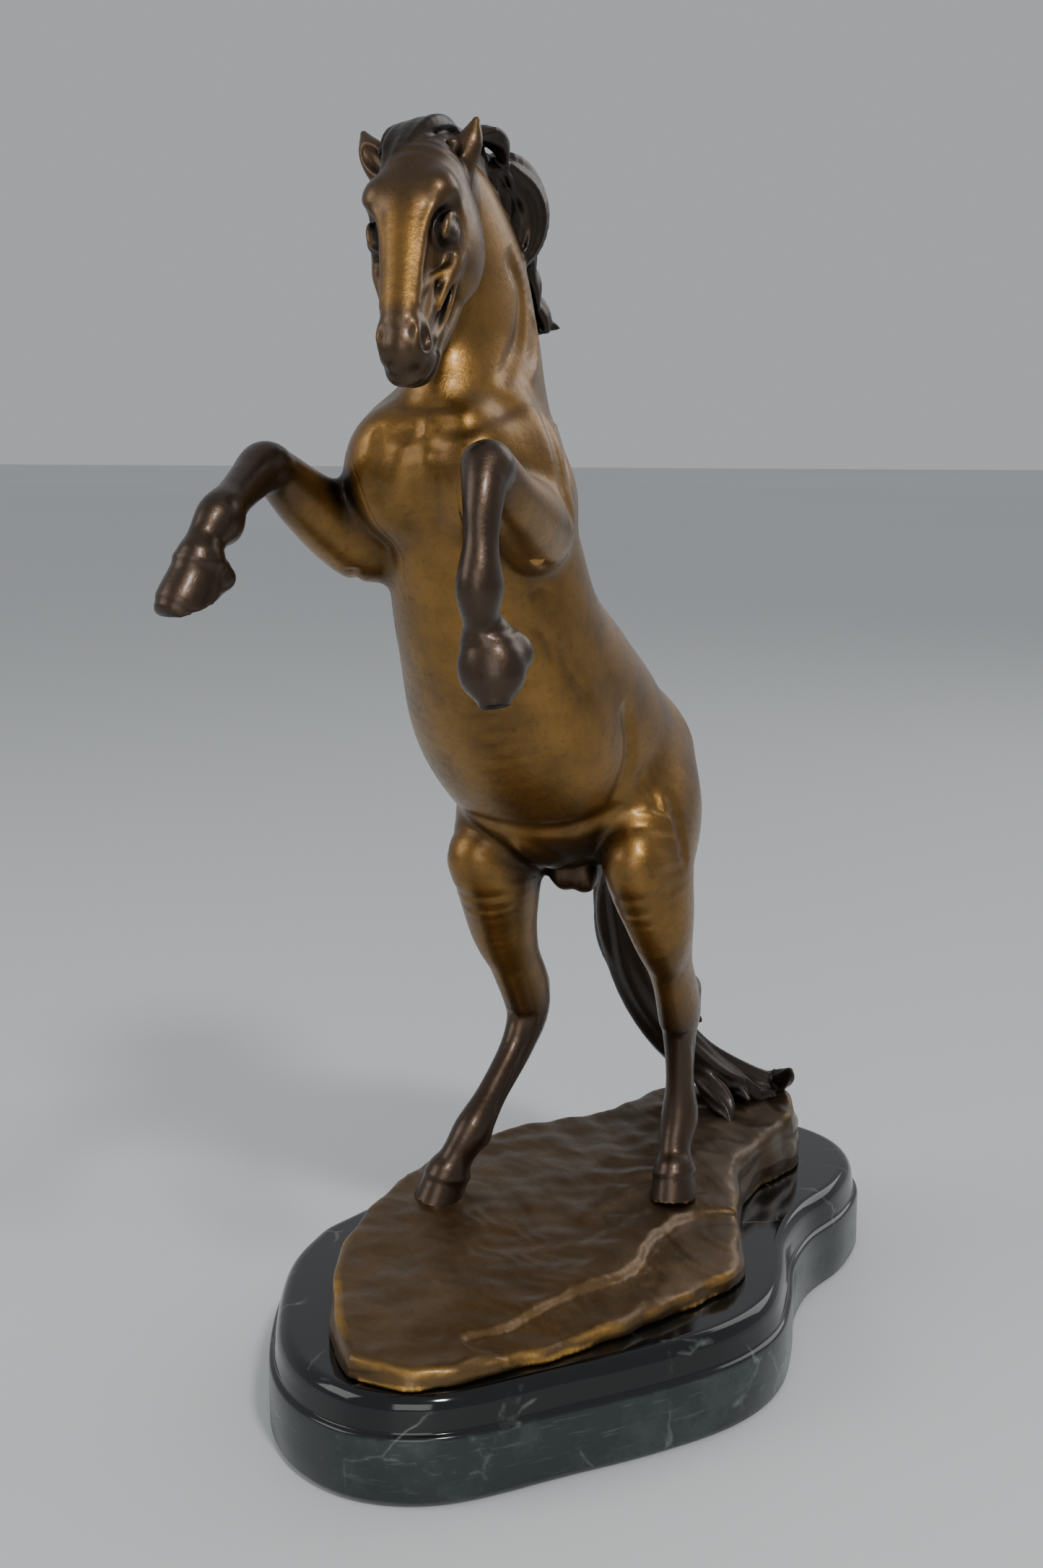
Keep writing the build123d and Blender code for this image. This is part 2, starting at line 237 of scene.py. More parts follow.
def cast(name, shape, low, high, voxel):
    # samples a field on a fine grid near its surface, and skins it with quads
    coarse, clip, chunk = clay["block"], clay["clip"], clay["chunk"]
    count = np.ceil((np.array(high) - low) / voxel / coarse).astype(int) + 1
    axes = [low[i] + (np.arange(count[i]) * coarse + (coarse - 1) / 2) * voxel for i in range(3)]
    grid = np.stack(np.meshgrid(*axes, indexing="ij"), -1).reshape(-1, 3)
    rough = shape(grid)
    active = np.abs(rough) < coarse * voxel * 1.05 + voxel + 0.4
    dense = np.repeat(np.repeat(np.repeat(
        np.clip(rough, -clip, clip).reshape(count), coarse, 0), coarse, 1), coarse, 2).astype(np.float32)
    cells = np.stack(np.unravel_index(np.nonzero(active)[0], count), 1) * coarse
    cells = cells[np.lexsort((cells // (coarse * 5)).T)]  # neighbours together
    inner = np.stack(np.meshgrid(*[np.arange(coarse)] * 3, indexing="ij"), -1).reshape(-1, 3)
    index = (cells[:, None] + inner[None]).reshape(-1, 3)

    def fill(start):
        part = index[start:start + chunk]
        dense[part[:, 0], part[:, 1], part[:, 2]] = np.clip(shape(part * voxel + low), -clip, clip)

    with ThreadPoolExecutor(4) as pool:
        list(pool.map(fill, range(0, len(index), chunk)))
    volume = openvdb.FloatGrid(clip)
    volume.copyFromArray(dense)
    points, quads = volume.convertToQuads(0.0)
    points = points * voxel + low
    whole = len(quads)
    points, quads = oneShell(points, quads)
    print(name, "skinned,", len(quads), "faces,", whole - len(quads), "stray")
    return points, quads


def oneShell(points, quads):
    # keeps the largest connected skin, and drops specks that the sampling left
    label = np.arange(len(points))
    while True:
        lowest = label[quads].min(1)
        joined = label.copy()
        for corner in quads.T:
            np.minimum.at(joined, corner, lowest)
        joined = joined[joined]
        if (joined == label).all():
            break
        label = joined
    keep = label == np.bincount(label).argmax()
    return points[keep], (np.cumsum(keep) - 1)[quads[keep[quads[:, 0]]]]


def meshOf(name, points, quads):
    mesh = bpy.data.meshes.new(name)
    mesh.vertices.add(len(points))
    mesh.vertices.foreach_set("co", (points * mm).astype(np.float32).ravel())
    mesh.loops.add(len(quads) * 4)
    mesh.loops.foreach_set("vertex_index", quads.astype(np.int32).ravel())
    mesh.polygons.add(len(quads))
    mesh.polygons.foreach_set("loop_start", np.arange(len(quads), dtype=np.int32) * 4)
    mesh.polygons.foreach_set("use_smooth", np.ones(len(quads), bool))
    mesh.update(calc_edges=True)
    mesh.validate()
    piece = bpy.data.objects.new(name, mesh)
    bpy.context.scene.collection.objects.link(piece)
    return piece


# the horse in clay
limbLines = {  # x, y, z, half width and half depth of each station, hip or shoulder first
    "rightForeleg": [
        (-15, -38, 256, 9, 14), (-22, -48, 249, 10, 13), (-28, -58, 244, 9.5, 11), (-31, -67, 247, 8.8, 10),
        (-33, -82, 255, 7, 8.2), (-34, -93, 261.5, 5.8, 6.3), (-34.5, -99, 263, 6, 6.2),
        (-33.5, -107, 260, 4.9, 5.3),
        (-31.5, -117, 256, 4.3, 4.8), (-30, -125, 252, 5.3, 6), (-30.5, -130, 247, 4.3, 4.9),
        (-30, -133, 243, 5.2, 6)],
    "leftForeleg": [
        (10, -36, 256, 9, 14), (15, -48, 250, 9.5, 12.5), (19, -58, 248, 8.8, 10), (22, -68, 251, 8.2, 9.2),
        (24.7, -84, 256.5, 6.8, 7.4), (26, -95, 262.5, 5.6, 6.2), (27, -101, 263, 5.8, 6),
        (28.5, -106, 256, 4.7, 5.2),
        (29.3, -108.5, 247, 4.1, 4.6), (29.5, -110, 237, 5.3, 6), (28.5, -107, 229, 4.2, 4.8),
        (28.5, -104, 224.5, 5.2, 5.8)],
    "rightHindLeg": [
        (-15, 30, 176, 15, 22), (-19, 14, 162, 16, 23), (-20, 4, 147, 13, 19), (-21, 8, 131, 9.8, 13.5),
        (-21.5, 16, 115, 7.2, 9.8), (-21, 25, 98, 6.4, 9.2), (-22, 20, 86, 4.8, 6.4), (-24, 6, 74, 4.3, 5.2),
        (-26, -4, 65, 5.5, 6.3), (-29, -8, 58, 4.9, 5.7), (-31, -9.5, 53, 6.3, 7.2)],
    "leftHindLeg": [
        (12, 34, 178, 16, 22), (19, 20, 164, 16.5, 24), (25.5, 8, 149, 12.5, 18), (28, 12, 132, 9.2, 12.5),
        (27.5, 22, 115, 6, 8.6), (26.5, 32, 99, 6, 9), (26, 34, 90, 4.8, 6.2), (26, 35, 76, 4.3, 5.2),
        (26, 35, 65, 5.6, 6.3), (26, 31, 56, 4.8, 5.6), (27, 28.5, 50, 6, 6.8)],
    "trunk": [
        (-3, 37, 160, 20, 20), (-3, 17, 176, 31, 34), (-4, -8, 196, 31, 34), (-4, -28, 216, 28, 29.5),
        (-4, -38, 236, 25.5, 28.5), (-4, -45, 254, 24, 28), (-3, -52, 268, 20, 27), (-3, -53, 279, 14, 21)],
    "neck": [
        (-4, -36, 258, 19, 26), (-4, -41, 278, 15.5, 26), (-3.5, -43.5, 293, 13.2, 25),
        (-3, -48, 309, 11.3, 22.5),
        (-3.5, -56, 323, 10, 17.5), (-4, -64, 332.5, 8.6, 11.5)],
}
tailLine = [
    (-2, 42, 172, 5, 6), (-3, 57, 165, 6.5, 7.5), (-7, 69, 144, 8.5, 9), (-9, 76, 118, 9.5, 9),
    (-8.5, 82, 97, 10, 9.5), (-1, 90, 76, 10, 9), (11, 97, 61, 8.5, 7.5), (24, 104, 51, 7, 5.5),
    (31, 108, 50, 4, 3.5)]

trunkForms = [
    tube(limbLines["trunk"], steps=8), tube(limbLines["neck"], soft=8, steps=8),
    # shoulders, upper arms and the points of the elbows
    ball((-20, -58, 264), (19, 12, 14), along=(-0.35, -0.1, -1), soft=6),
    ball((12, -54, 264), (19, 12, 14), along=(0.35, -0.05, -1), soft=6),
    ball((-25, -60, 251), (12, 9, 11), along=(-0.4, -0.3, -1), soft=4),
    ball((17, -54, 250), (12, 8.5, 11), along=(0.3, -0.3, -1), soft=4),
    # breast muscles on both sides of the middle furrow
    ball((-13, -69, 262), (17, 14, 13), along=(-0.12, 0.2, -1), soft=6),
    ball((8, -67, 262), (17, 12, 13), along=(0.12, 0.2, -1), soft=6),
    # ribs and belly, loin and haunches
    ball((-3, -24, 190), (34, 26, 15), along=(0, -0.62, 0.78), soft=10),
    ball((11, 30, 175), (24, 14, 19), along=(0.25, -0.4, -1), soft=7),
    ball((-17, 30, 176), (24, 15, 20), along=(-0.2, -0.4, -1), soft=7),
    ball((14, 46, 160), (18, 9, 10), along=(0.25, -0.5, -1), soft=5),
    ball((-17, 44, 158), (18, 9, 10), along=(-0.1, -0.5, -1), soft=5),
    # stifles, calf muscles and the points of the hocks
    ball((-21, -10, 150), (9, 8.5, 8), along=(0, 0.2, -1), soft=4),
    ball((26, -5, 152), (9, 8, 8), along=(0, 0.2, -1), soft=4),
    ball((-22, 4, 130), (17, 7, 7), along=(0, 0.35, -1), soft=4),
    ball((29, 8, 132), (16, 6.4, 7), along=(0, 0.4, -1), soft=4),
    tube([(-20.5, 20, 112, 2, 2.6), (-21, 29, 106, 2, 2.6), (-21.5, 35, 102, 2.8, 3),
          (-22, 33, 97, 2.6, 2.6)], soft=3),
    tube([(27, 26, 114, 2, 2.6), (26.5, 36, 108, 2, 2.6), (26.5, 43, 104, 2.8, 3),
          (26.5, 41, 98, 2.6, 2.6)], soft=3),
    # sheath and scrotum
    tube([(-4, -14, 158, 3.5, 3.5), (-1, -6, 153, 4.2, 3.8), (0, -3, 151, 3, 3)], soft=3),
    ball((-1.5, 9, 145), (6.5, 4.6, 5), along=(0, 0.3, -1), soft=2),
    ball((4, 10, 144.5), (6.5, 4.6, 5), along=(0, 0.3, -1), soft=2),
]
jointForms = [
    # knees
    ball((-34.2, -97.5, 263.5), (5.6, 6, 5.4), along=(0, -0.4, 0.2), soft=2),
    ball((26.7, -100, 264), (5.6, 6, 5.2), along=(0, -0.3, 0.4), soft=2),
    # fetlocks and their ergots
    ball((-30, -122.5, 250), (4.2, 3.6, 4), along=(0, 1, -0.6), soft=2.5),
    ball((29.5, -106.5, 237), (4.2, 3.6, 4), along=(0, 1, 0), soft=2.5),
    ball((-25.8, 0, 62), (4.2, 3.6, 4), along=(0, 1, -0.5), soft=2.5),
    ball((26, 39, 62), (4.2, 3.8, 4), along=(0, 1, -0.3), soft=2.5),
]


def hoof(coronet, sole, across, wide=7.4, toe=9.5, soft=1.2):
    # a short flared cone from the coronet band to the sole's rim, longer at the toe
    coronet, sole = np.array(coronet, float), np.array(sole, float)
    way = (sole - coronet) / np.linalg.norm(sole - coronet)
    start = coronet - way * 0.5
    return tube([tuple(start) + (wide * 0.8, toe * 0.76),
                 tuple((start + sole) / 2) + (wide * 0.9, toe * 0.88),
                 tuple(sole) + (wide, toe)], soft=soft, across=across, flat=True)


hoofForms = [
    hoof((-31.5, -10.5, 52.5), (-33.5, -12, 44), (1, 0, 0)),
    hoof((27.2, 27.5, 49.5), (27.8, 26, 41), (1, 0, 0)),
    tube([(-30.4, -132.5, 243, 5.4, 6), (-31.2, -134, 238, 6.2, 7.2), (-32, -136, 233, 6.8, 8.4),
          (-32, -136, 232, 6.8, 8.4)], soft=1.2, flat=(0.12, 0.3, -1)),
    tube([(28.6, -104.5, 225.5, 5.6, 6), (29.8, -105, 220, 8, 7), (31, -106, 214.5, 7.4, 6.4),
          (31.8, -107, 210.5, 4, 4)], soft=1.5, across=(1, 0.1, 0.1)),
    # heel bulbs of the raised fore hooves
    ball((-29, -128, 238.5), (3.6, 4.6, 3.8), soft=2),
    ball((33, -100, 221), (5.4, 5, 4.6), soft=2),
]
headWay = np.array([13, -37, -58.0]) / np.linalg.norm([13, -37, -58])
headTop = np.array([-4, -71, 340.0])
turn = math.radians(5)
headSide = np.array([1.0, 0, 0]) - headWay * headWay[0]
headSide /= np.linalg.norm(headSide)
headFace = np.cross(headWay, headSide)
headFace = headFace * math.cos(turn) + headSide * math.sin(turn)
headSide = np.cross(headFace, headWay)


def inHead(u, v, w):
    # u runs down the face from the poll, v towards the nose bridge, w to the horse's left
    return headTop + headWay * u + headFace * v + headSide * w


def headDirection(u, v, w):
    return headWay * u + headFace * v + headSide * w


def headBall(place, radii, along=(1, 0, 0), **more):
    return ball(inHead(*place), radii, headDirection(*along), across=headSide, **more)


def headTube(stations, across=headSide, **more):
    return tube([tuple(inHead(*s[:3])) + tuple(s[3:]) for s in stations], across=across, **more)


def bothSides(maker, place, *rest, **more):
    # a form on the left of the head, and its mirror image on the right
    other = dict(more)
    if "along" in more:
        other["along"] = tuple(more["along"][:2]) + (-more["along"][2],)
    if isinstance(place, list):
        flipped = [tuple(p[:2]) + (-p[2],) + tuple(p[3:]) for p in place]
    else:
        flipped = tuple(place[:2]) + (-place[2],)
    return [maker(place, *rest, **more), maker(flipped, *rest, **other)]


headForms = [
    headTube([(3, -3.4, 0, 8.4, 8.6), (11, -1.6, 0, 10.8, 12.4), (21, -2, 0, 10.5, 13.5),
              (33, -2, 0, 8.2, 11.5),
              (44, -1, 0, 6.2, 9), (54, -1, 0, 5.6, 7.4), (60, -1, 0, 5.4, 6)], soft=6),
    *bothSides(headBall, (24, -8, 8), (13, 5.2, 12), soft=4),  # round plates of the jaw
    *bothSides(headBall, (21, 6.2, 6.6), (6, 5.2, 5.2), soft=3.5),  # bosses over the eyes
    headTube([(15, 6.6, 0, 6.6, 3.6), (28, 7.6, 0, 6, 3.4), (44, 6.4, 0, 4.8, 3.2), (56, 5.2, 0, 4.6, 3.2)],
             soft=2.5),
    headBall((60.5, 0, 0), (5.5, 5.4, 6.6), soft=3),
    headBall((60, -7, 0), (4.6, 4.6, 3.6), soft=2),
    *bothSides(headTube, [(32, -14, 6.4, 2.5, 3), (45, -11.5, 5, 2.2, 2.6), (56, -8, 3, 2.4, 2.8)], soft=4),
    # sockets, eyeballs, lids and brows
    *bothSides(headBall, (31.5, 5.2, 11.4), (8, 3.8, 4), soft=4, op="cut"),
    *bothSides(headBall, (29.6, 2.4, 7.2), (4.4, 4, 3.9), soft=1),
    *bothSides(headTube, [(25, 2.6, 9.6, 0.7, 0.7), (26.8, 5, 9.8, 0.8, 0.8), (29.6, 5.8, 9.6, 0.8, 0.8),
                          (32.4, 4.8, 9, 0.7, 0.7), (34.2, 2.8, 8, 0.5, 0.5)], soft=1.2),
    *bothSides(headTube, [(25.4, 1.6, 9.9, 0.5, 0.5), (28.6, -0.4, 10.5, 0.7, 0.7),
                          (31.8, -0.2, 9.9, 0.7, 0.7),
                          (34.2, 1.8, 8.4, 0.5, 0.5)], soft=1.2),
    # the sharp edge of the nose bone, one arc from the brow to the nostril
    *bothSides(headTube, [(22.5, 6, 8.8, 0.7, 0.8), (25, 7.6, 7.6, 0.9, 1), (29, 8.2, 6, 0.9, 1),
                          (34, 8, 5, 0.8, 0.9),
                          (42, 7, 4.4, 0.7, 0.8), (52, 6, 4, 0.5, 0.6)], soft=1.5),
    # hollow between the nose bone and the cheek, and the crest and veins of the cheek
    *bothSides(headBall, (41.5, 2.4, 9), (7.5, 2.8, 3), soft=4, op="cut"),
    *bothSides(headTube, [(31, -3.4, 9.6, 1.5, 1.5), (35.5, -2.4, 9.4, 1.8, 1.8), (42, -1.8, 7.8, 1.2, 1.2),
                          (48, -1.4, 6.6, 0.7, 0.7)], soft=2.2),
    *bothSides(headTube, [(38, -1, 8, 0.4, 0.4), (43, 2.2, 5.3, 0.6, 0.6), (47, 4.6, 4.3, 0.5, 0.5),
                          (50, 6.4, 3.2, 0.3, 0.3)], soft=2),
    *bothSides(headTube, [(44, 1.2, 5.3, 0.4, 0.4), (50, 1, 5.1, 0.6, 0.6), (55, 2, 4.6, 0.4, 0.4)], soft=2),
    *bothSides(headTube, [(36, -4.4, 9.2, 0.7, 0.7), (43, -6.4, 7.4, 0.9, 0.9), (50, -6, 6, 0.8, 0.8),
                          (55, -3.6, 5.4, 0.6, 0.6)], soft=2),
    # nostrils with their raised rims
    *bothSides(headTube, [(55, 3, 4, 0.7, 0.8), (57, 5, 4.2, 0.9, 1), (60, 5, 4.4, 1, 1.1),
                          (62.6, 2.6, 4, 0.9, 0.9), (62, -0.2, 4.4, 0.8, 0.8), (59, -0.4, 5.2, 0.8, 0.8),
                          (56, 1, 5, 0.7, 0.7)], soft=1.2),
    *bothSides(headBall, (59.4, 2.3, 5.8), (2.9, 1.6, 2.2), along=(1, -0.25, -0.1), soft=0.6, op="cut"),
    # lips
    headTube([(60, -4, -5, 1, 1.2), (64.8, -3.4, -3.4, 1.4, 1.6), (66.2, -2.8, 0, 1.6, 2),
              (64.8, -3.4, 3.4, 1.4, 1.6),
              (60, -4, 5, 1, 1.2)], soft=2, across=headFace),
    headTube([(57, -7, -4.6, 1, 1.1), (62, -7.4, -3.4, 1.2, 1.3), (63.4, -7.4, 0, 1.4, 1.5),
              (62, -7.4, 3.4, 1.2, 1.3),
              (57, -7, 4.6, 1, 1.1)], soft=1.6, across=headFace),
    headBall((57.5, -10.5, 0), (3.8, 3.4, 2.6), soft=2),
]
mouth = [tuple(inHead(*p)) for p in ((48, -7.4, -6.4), (55, -6.2, -6), (61.5, -5.6, -4.6), (65, -5.2, 0),
                                     (61.5, -5.6, 4.6), (55, -6.2, 6), (48, -7.4, 6.4))]
earForms = [
    tube([(-10, -72, 330, 4.6, 4), (-14.5, -72.5, 335, 4.6, 3.6), (-18.6, -71.5, 339.5, 3.5, 2.8),
          (-21.6, -70, 344, 0.9, 0.9)], soft=2),
    tube([(0, -68, 331, 4.6, 4), (3, -68, 336, 4.8, 3.6), (6, -67, 341, 3.6, 2.8),
          (7.4, -66, 346, 0.9, 0.9)], soft=2),
    ball((-16.6, -75.4, 337.6), (5.2, 2.2, 2.2), along=(-0.75, 0.2, 0.8), soft=1, op="cut"),
    ball((4, -72.4, 338.2), (5.2, 2, 2), along=(0.4, 0.2, 0.9), soft=1, op="cut"),
]


def lock(path, wide, thick, strands=(5, 0.55, 5), soft=1.5, across=(1, 0, 0)):
    # one tapering lock of hair with strands twisting along it
    count = len(path)
    shape = np.sin(np.linspace(0.35, math.pi - 0.12, count)) ** 0.8
    return tube([tuple(p) + (max(wide * k, 0.5), max(thick * k, 0.5)) for p, k in zip(path, shape)],
                soft=soft, across=across, strands=strands)


maneForms = []
crest = smoothLine([(-4, -61, 341.5), (-4, -51, 340.5), (-3, -39, 333), (-3, -27, 319), (-3, -19, 303),
                    (-3, -14, 286), (-3, -12, 272)], 6)
maneForms.append(tube([tuple(p) + (3.6, 3.2) for p in crest[::3]], soft=3, strands=(6, 0.6, 26)))
dice = np.random.default_rng(7)
for root in crest[1:-3:2]:
    # locks that fall over the right side of the neck
    sway, length = dice.uniform(-3, 3), dice.uniform(20, 27)
    maneForms.append(lock([root + [0, 0, 1], root + [-7, sway * 0.3 + 3, 0], root + [-13, sway + 2, -8],
                           root + [-15, sway + 4, -length * 0.65], root + [-13.5, sway + 9, -length]],
                          5.2, 3, strands=(4, 0.6, dice.uniform(4, 9)), across=(0, 1, 0.2)))
for root in crest[2:-2:3]:
    # short locks that lie close along the left of the crest
    sway = dice.uniform(-2, 2)
    maneForms.append(lock([root + [0, 0, 0], root + [3, 2 + sway * 0.5, 1], root + [5, 4 + sway, -3],
                           root + [5.5, 5 + sway, -9]], 3.6, 1.8, strands=(4, 0.45, 5), across=(0, 1, 0.2)))
maneForms += [
    # locks that fly off the crest
    lock([(-2, -47, 336), (1, -39, 338), (2.6, -31, 335), (4, -27, 328), (4, -29, 320), (2.5, -36, 312)],
         6.4, 5.2,
         strands=(6, 0.9, 4), across=(0, 1, 0.3)),
    lock([(-2, -44, 338), (0, -36, 338), (1.5, -31, 332), (1.5, -31, 324), (1, -34, 315)], 5.4, 5,
         strands=(5, 0.9, 4), across=(0, 1, 0.3)),
    lock([(-2, -16, 302), (0, -10, 300), (2, -7, 295), (2, -8, 289)], 3.8, 3, strands=(5, 0.7, 5)),
    # forelock, in short tufts between the ears
    lock([(-4, -58, 343), (-5, -66, 345), (-6.5, -75, 343.4), (-7.5, -81.5, 339), (-7, -86, 333.5)], 3.4, 2.4,
         (4, 0.6, 5)),
    lock([(-2, -58, 344), (-1.5, -66, 345.5), (-2, -75, 344), (-3.5, -82.5, 338.5), (-4.5, -86.5, 334)],
         3.2, 2.4,
         (4, 0.6, 5)),
    lock([(-6, -58, 343), (-9, -65, 345), (-11.4, -73, 342.8), (-12, -79.5, 337.4)], 3, 2.4, (4, 0.6, 5)),
    lock([(0, -56, 343.5), (-4, -60, 345.5), (-9, -64, 344.5), (-12, -67, 341)], 2.4, 1.8, (4, 0.6, 5)),
    lock([(2, -56, 344), (3, -51, 345), (4, -46, 343), (4, -42, 338)], 3.4, 2.6, (4, 0.6, 5)),
]
tailForms = [
    tube([s[:3] + (s[3] * 0.86, s[4] * 0.86) for s in tailLine], soft=3, strands=(7, 0.8, 18)),
    lock([(-2, 50, 172), (-5, 64, 160), (-12, 74, 138), (-16, 79, 116), (-13, 84, 99), (-8, 88, 88)], 6, 4.5,
         (5, 0.8, 8)),
    lock([(-2, 52, 170), (0, 66, 156), (-2, 79, 134), (-3, 86, 112), (2, 92, 92), (10, 97, 76)], 6, 4.5,
         (5, 0.8, 9)),
    lock([(-6, 66, 146), (-13, 70, 124), (-14, 76, 106), (-9, 82, 92), (-2, 86, 82)], 5, 4, (5, 0.8, 9)),
    lock([(-6, 82, 92), (2, 88, 76), (12, 93, 63), (22, 98, 55), (28, 96, 51)], 6, 4.6, (5, 0.8, 8)),
    lock([(0, 90, 80), (10, 99, 66), (22, 108, 56), (31, 113, 53), (36, 111, 56), (39, 107, 60)], 5.4, 3.6,
         (5, 0.8, 8)),
    lock([(4, 92, 70), (14, 92, 58), (22, 88, 51), (26, 83, 47)], 5, 4, (5, 0.8, 6)),
]
horseForms = list(trunkForms)
for name in ("rightHindLeg", "leftHindLeg", "rightForeleg", "leftForeleg"):
    horseForms.append(tube(limbLines[name], soft=5, steps=6))
horseForms += jointForms + hoofForms + headForms + earForms
horseForms += [stroke(settle(mouth, horseForms), 0.8, -1.5)]


# grooves and ridges chased into the skin: points, half width and height,
# and whether the right side has it too
midline = -3.5
bandWide, bandRise = 0.9, 0.55
chased = {
    "throatRight": ([(-14.5, -80.5, 271.5), (-10, -81, 270.5), (-6, -79.5, 272), (-1, -78.5, 273)], 2.4,
                    -1.3, False),
    "throatLeft": ([(-1, -78.5, 273), (5.5, -78, 273), (10.5, -77, 273.5), (14, -68.5, 276.5),
                    (15.5, -51, 281)],
                   2.6, -1.5, False),
    "breast": ([(-10, -81, 270), (-12, -82, 264), (-13.5, -81.5, 259.5), (-13, -80.5, 253)], 3.2, -1, False),
    "furrow": ([(-0.5, -79, 271.5), (0, -80, 264), (-1, -78, 256), (-2.5, -75, 246)], 3.4, -1.2, False),
    "shoulder": ([(17, -50, 279), (22, -53, 271.5), (24.5, -53.5, 264.5), (26.5, -53.5, 255.5),
                  (27, -50, 247.5)],
                 2, -1.4, True),
    "upperArm": ([(21, -38, 272), (25, -40, 262), (26, -42, 251), (24, -46, 242)], 2, -1.2, True),
    "elbow": ([(21.5, -67, 240.5), (22.5, -63, 239.5), (22.5, -56, 238)], 1.3, -1.1, True),
    "girth": ([(16.5, -54, 230.5), (18.5, -51.5, 232.5), (19.5, -48, 230.5)], 1.2, -0.9, True),
    "ribFront": ([(15.5, -53.5, 223), (17.5, -50, 221.5), (18.5, -47, 217.5), (19, -45, 212)], 1.1, -0.9,
                 True),
    "ribBack": ([(20.5, -43.5, 217.5), (21, -41.5, 212), (22, -38, 207.5), (24, -32.5, 201.5)], 1.1, -0.9,
                True),
    "flank": ([(26.5, -16, 199), (26.5, -11.5, 191.5), (26, -10, 183), (24, -11, 175), (21, -11.5, 168.5)],
              2.6, -1.6, True),
    "haunch": ([(27, -4, 179), (29.5, 0.5, 171.5), (32, -0.5, 165.5)], 1.8, -1.1, True),
    "thigh": ([(31, 6, 172), (36.5, 5, 160), (37.5, 5.5, 150)], 1.8, -1.2, True),
    "rump": ([(16, 46, 178), (19, 52, 166), (18, 53, 152), (17, 46, 140)], 2.2, -1.4, True),
    "groin": ([(-21, -19.5, 166), (-10, -23.5, 162), (1, -23, 161.5), (10.5, -19, 162), (18.5, -13, 165),
               (23.5, -8, 170)], 3, -2.6, False),
    "throat": ([(7.5, -49, 317), (8, -46, 313), (8.5, -42.5, 308), (9, -43.5, 300.5), (9.5, -46.5, 294.5),
                (10.5, -54.5, 287.5), (11, -61.5, 283)], 2.4, -1.8, True),
    "neckRidge": ([(9.5, -36, 305), (10, -33, 298), (10.5, -36, 290), (12, -46, 284)], 1.8, 0.7, True),
    "withers": ([(6, -22, 290), (10, -24, 278), (14, -26, 262), (17, -24, 248)], 2.6, -1, True),
    "kneeRight": ([(-38, -95, 259), (-36.5, -100, 259.5), (-32, -103, 259.5)], 1, -0.5, False),
    "tendonRight": ([(-35.5, -108, 257), (-34.5, -115, 253.5), (-33.5, -121, 250)], 1.2, -0.6, False),
    "tendonLeft": ([(32, -103, 254), (32.5, -105.5, 248), (33, -107, 241)], 1.2, -0.6, False),
    "hockRight": ([(-16.5, 22, 92), (-19, 14, 82), (-21.5, 6, 74), (-23, 0, 69)], 1.3, -0.7, False),
    "hockLeft": ([(30, 33, 92), (30, 36, 82), (30, 36.5, 74), (30.5, 37, 68)], 1.3, -0.7, False),
}
bands = {  # raised coronet bands: middle, the way the hoof points, radius
    "foreRight": ((-30.4, -132.6, 242.6), (-0.1, -0.2, -1), 6),
    "foreLeft": ((28.8, -104.6, 224.6), (0.1, -0.05, -1), 6.4),
    "hindRight": ((-31.5, -10.4, 52.6), (-0.2, -0.15, -1), 6.6),
    "hindLeft": ((27.2, 27.6, 49.6), (0.1, -0.15, -1), 6.6),
}


def chaseAll(forms):
    strokes = []
    for path, wide, rise, both in chased.values():
        paths = [path] + ([[(2 * midline - x, y, z) for x, y, z in path]] if both else [])
        strokes += [stroke(settle(p, forms), wide, rise) for p in paths]
    for middle, way, radius in bands.values():
        way = np.array(way) / np.linalg.norm(way)
        side = np.cross(way, (0, 1, 0)) / np.linalg.norm(np.cross(way, (0, 1, 0)))
        front = np.cross(way, side)
        loop = [np.array(middle) + radius * (math.cos(t) * side + math.sin(t) * front)
                for t in np.linspace(0, 2 * math.pi, 13)]
        strokes.append(stroke(settle(loop, forms), bandWide, bandRise, closed=True))
    return strokes


horseForms += chaseAll(horseForms)
hairForms = maneForms + tailForms
coatForms = list(horseForms)
horseForms += hairForms


# where each casting ends: a flat joint across the limb, at the station where the model has it
joints = {
    "rightForeleg": {"centre": (-27, -58, 246), "way": (-8, -20, -1), "reach": 9},
    "leftForeleg": {"centre": (21, -59, 242), "way": (7, -20, -3), "reach": 9},
    "rightHindLeg": {"centre": (-24, 4, 146), "way": (-5, -7, -32), "reach": 7},
    "leftHindLeg": {"centre": (24, 8, 148), "way": (8, -8, -33), "reach": 7},
}
neckJoint = {"centre": (-3.5, -43, 293), "way": (2, -8, 31)}
tailJoint = {"centre": (-2.5, 47, 170), "way": (-4, 27, -22)}


def within(forms, low, high):
    # the forms that reach into a box
    return [form for form in forms if np.all(form["low"] < np.array(high) + 6)
            and np.all(form["high"] > np.array(low) - 6)]


def beyond(points, joint):
    way = np.array(joint["way"], float)
    return (points - np.array(joint["centre"], float)) @ (way / np.linalg.norm(way))


def limbRegion(name):
    # below zero in the limb's own casting
    joint, line = joints[name], tube(limbLines[name], steps=3)
    return lambda points: np.maximum(-beyond(points, joint), tubeField(points, line) - joint["reach"])


def neckRegion(points):
    # the joint's plane would also cut the forelegs, so it counts only above the shoulders
    return np.where(points[:, 2] > 255, -beyond(points, neckJoint), clay["far"])


def tailRegion(points):
    hair = fieldOf(points, tailForms)
    return np.maximum(np.maximum(-beyond(points, tailJoint), hair - 1.2), 38 - points[:, 1])


overlap = 1.8  # each casting runs this far under its neighbour
inset = 0.12  # and lies this far below its skin, 1.5 mm past the joint


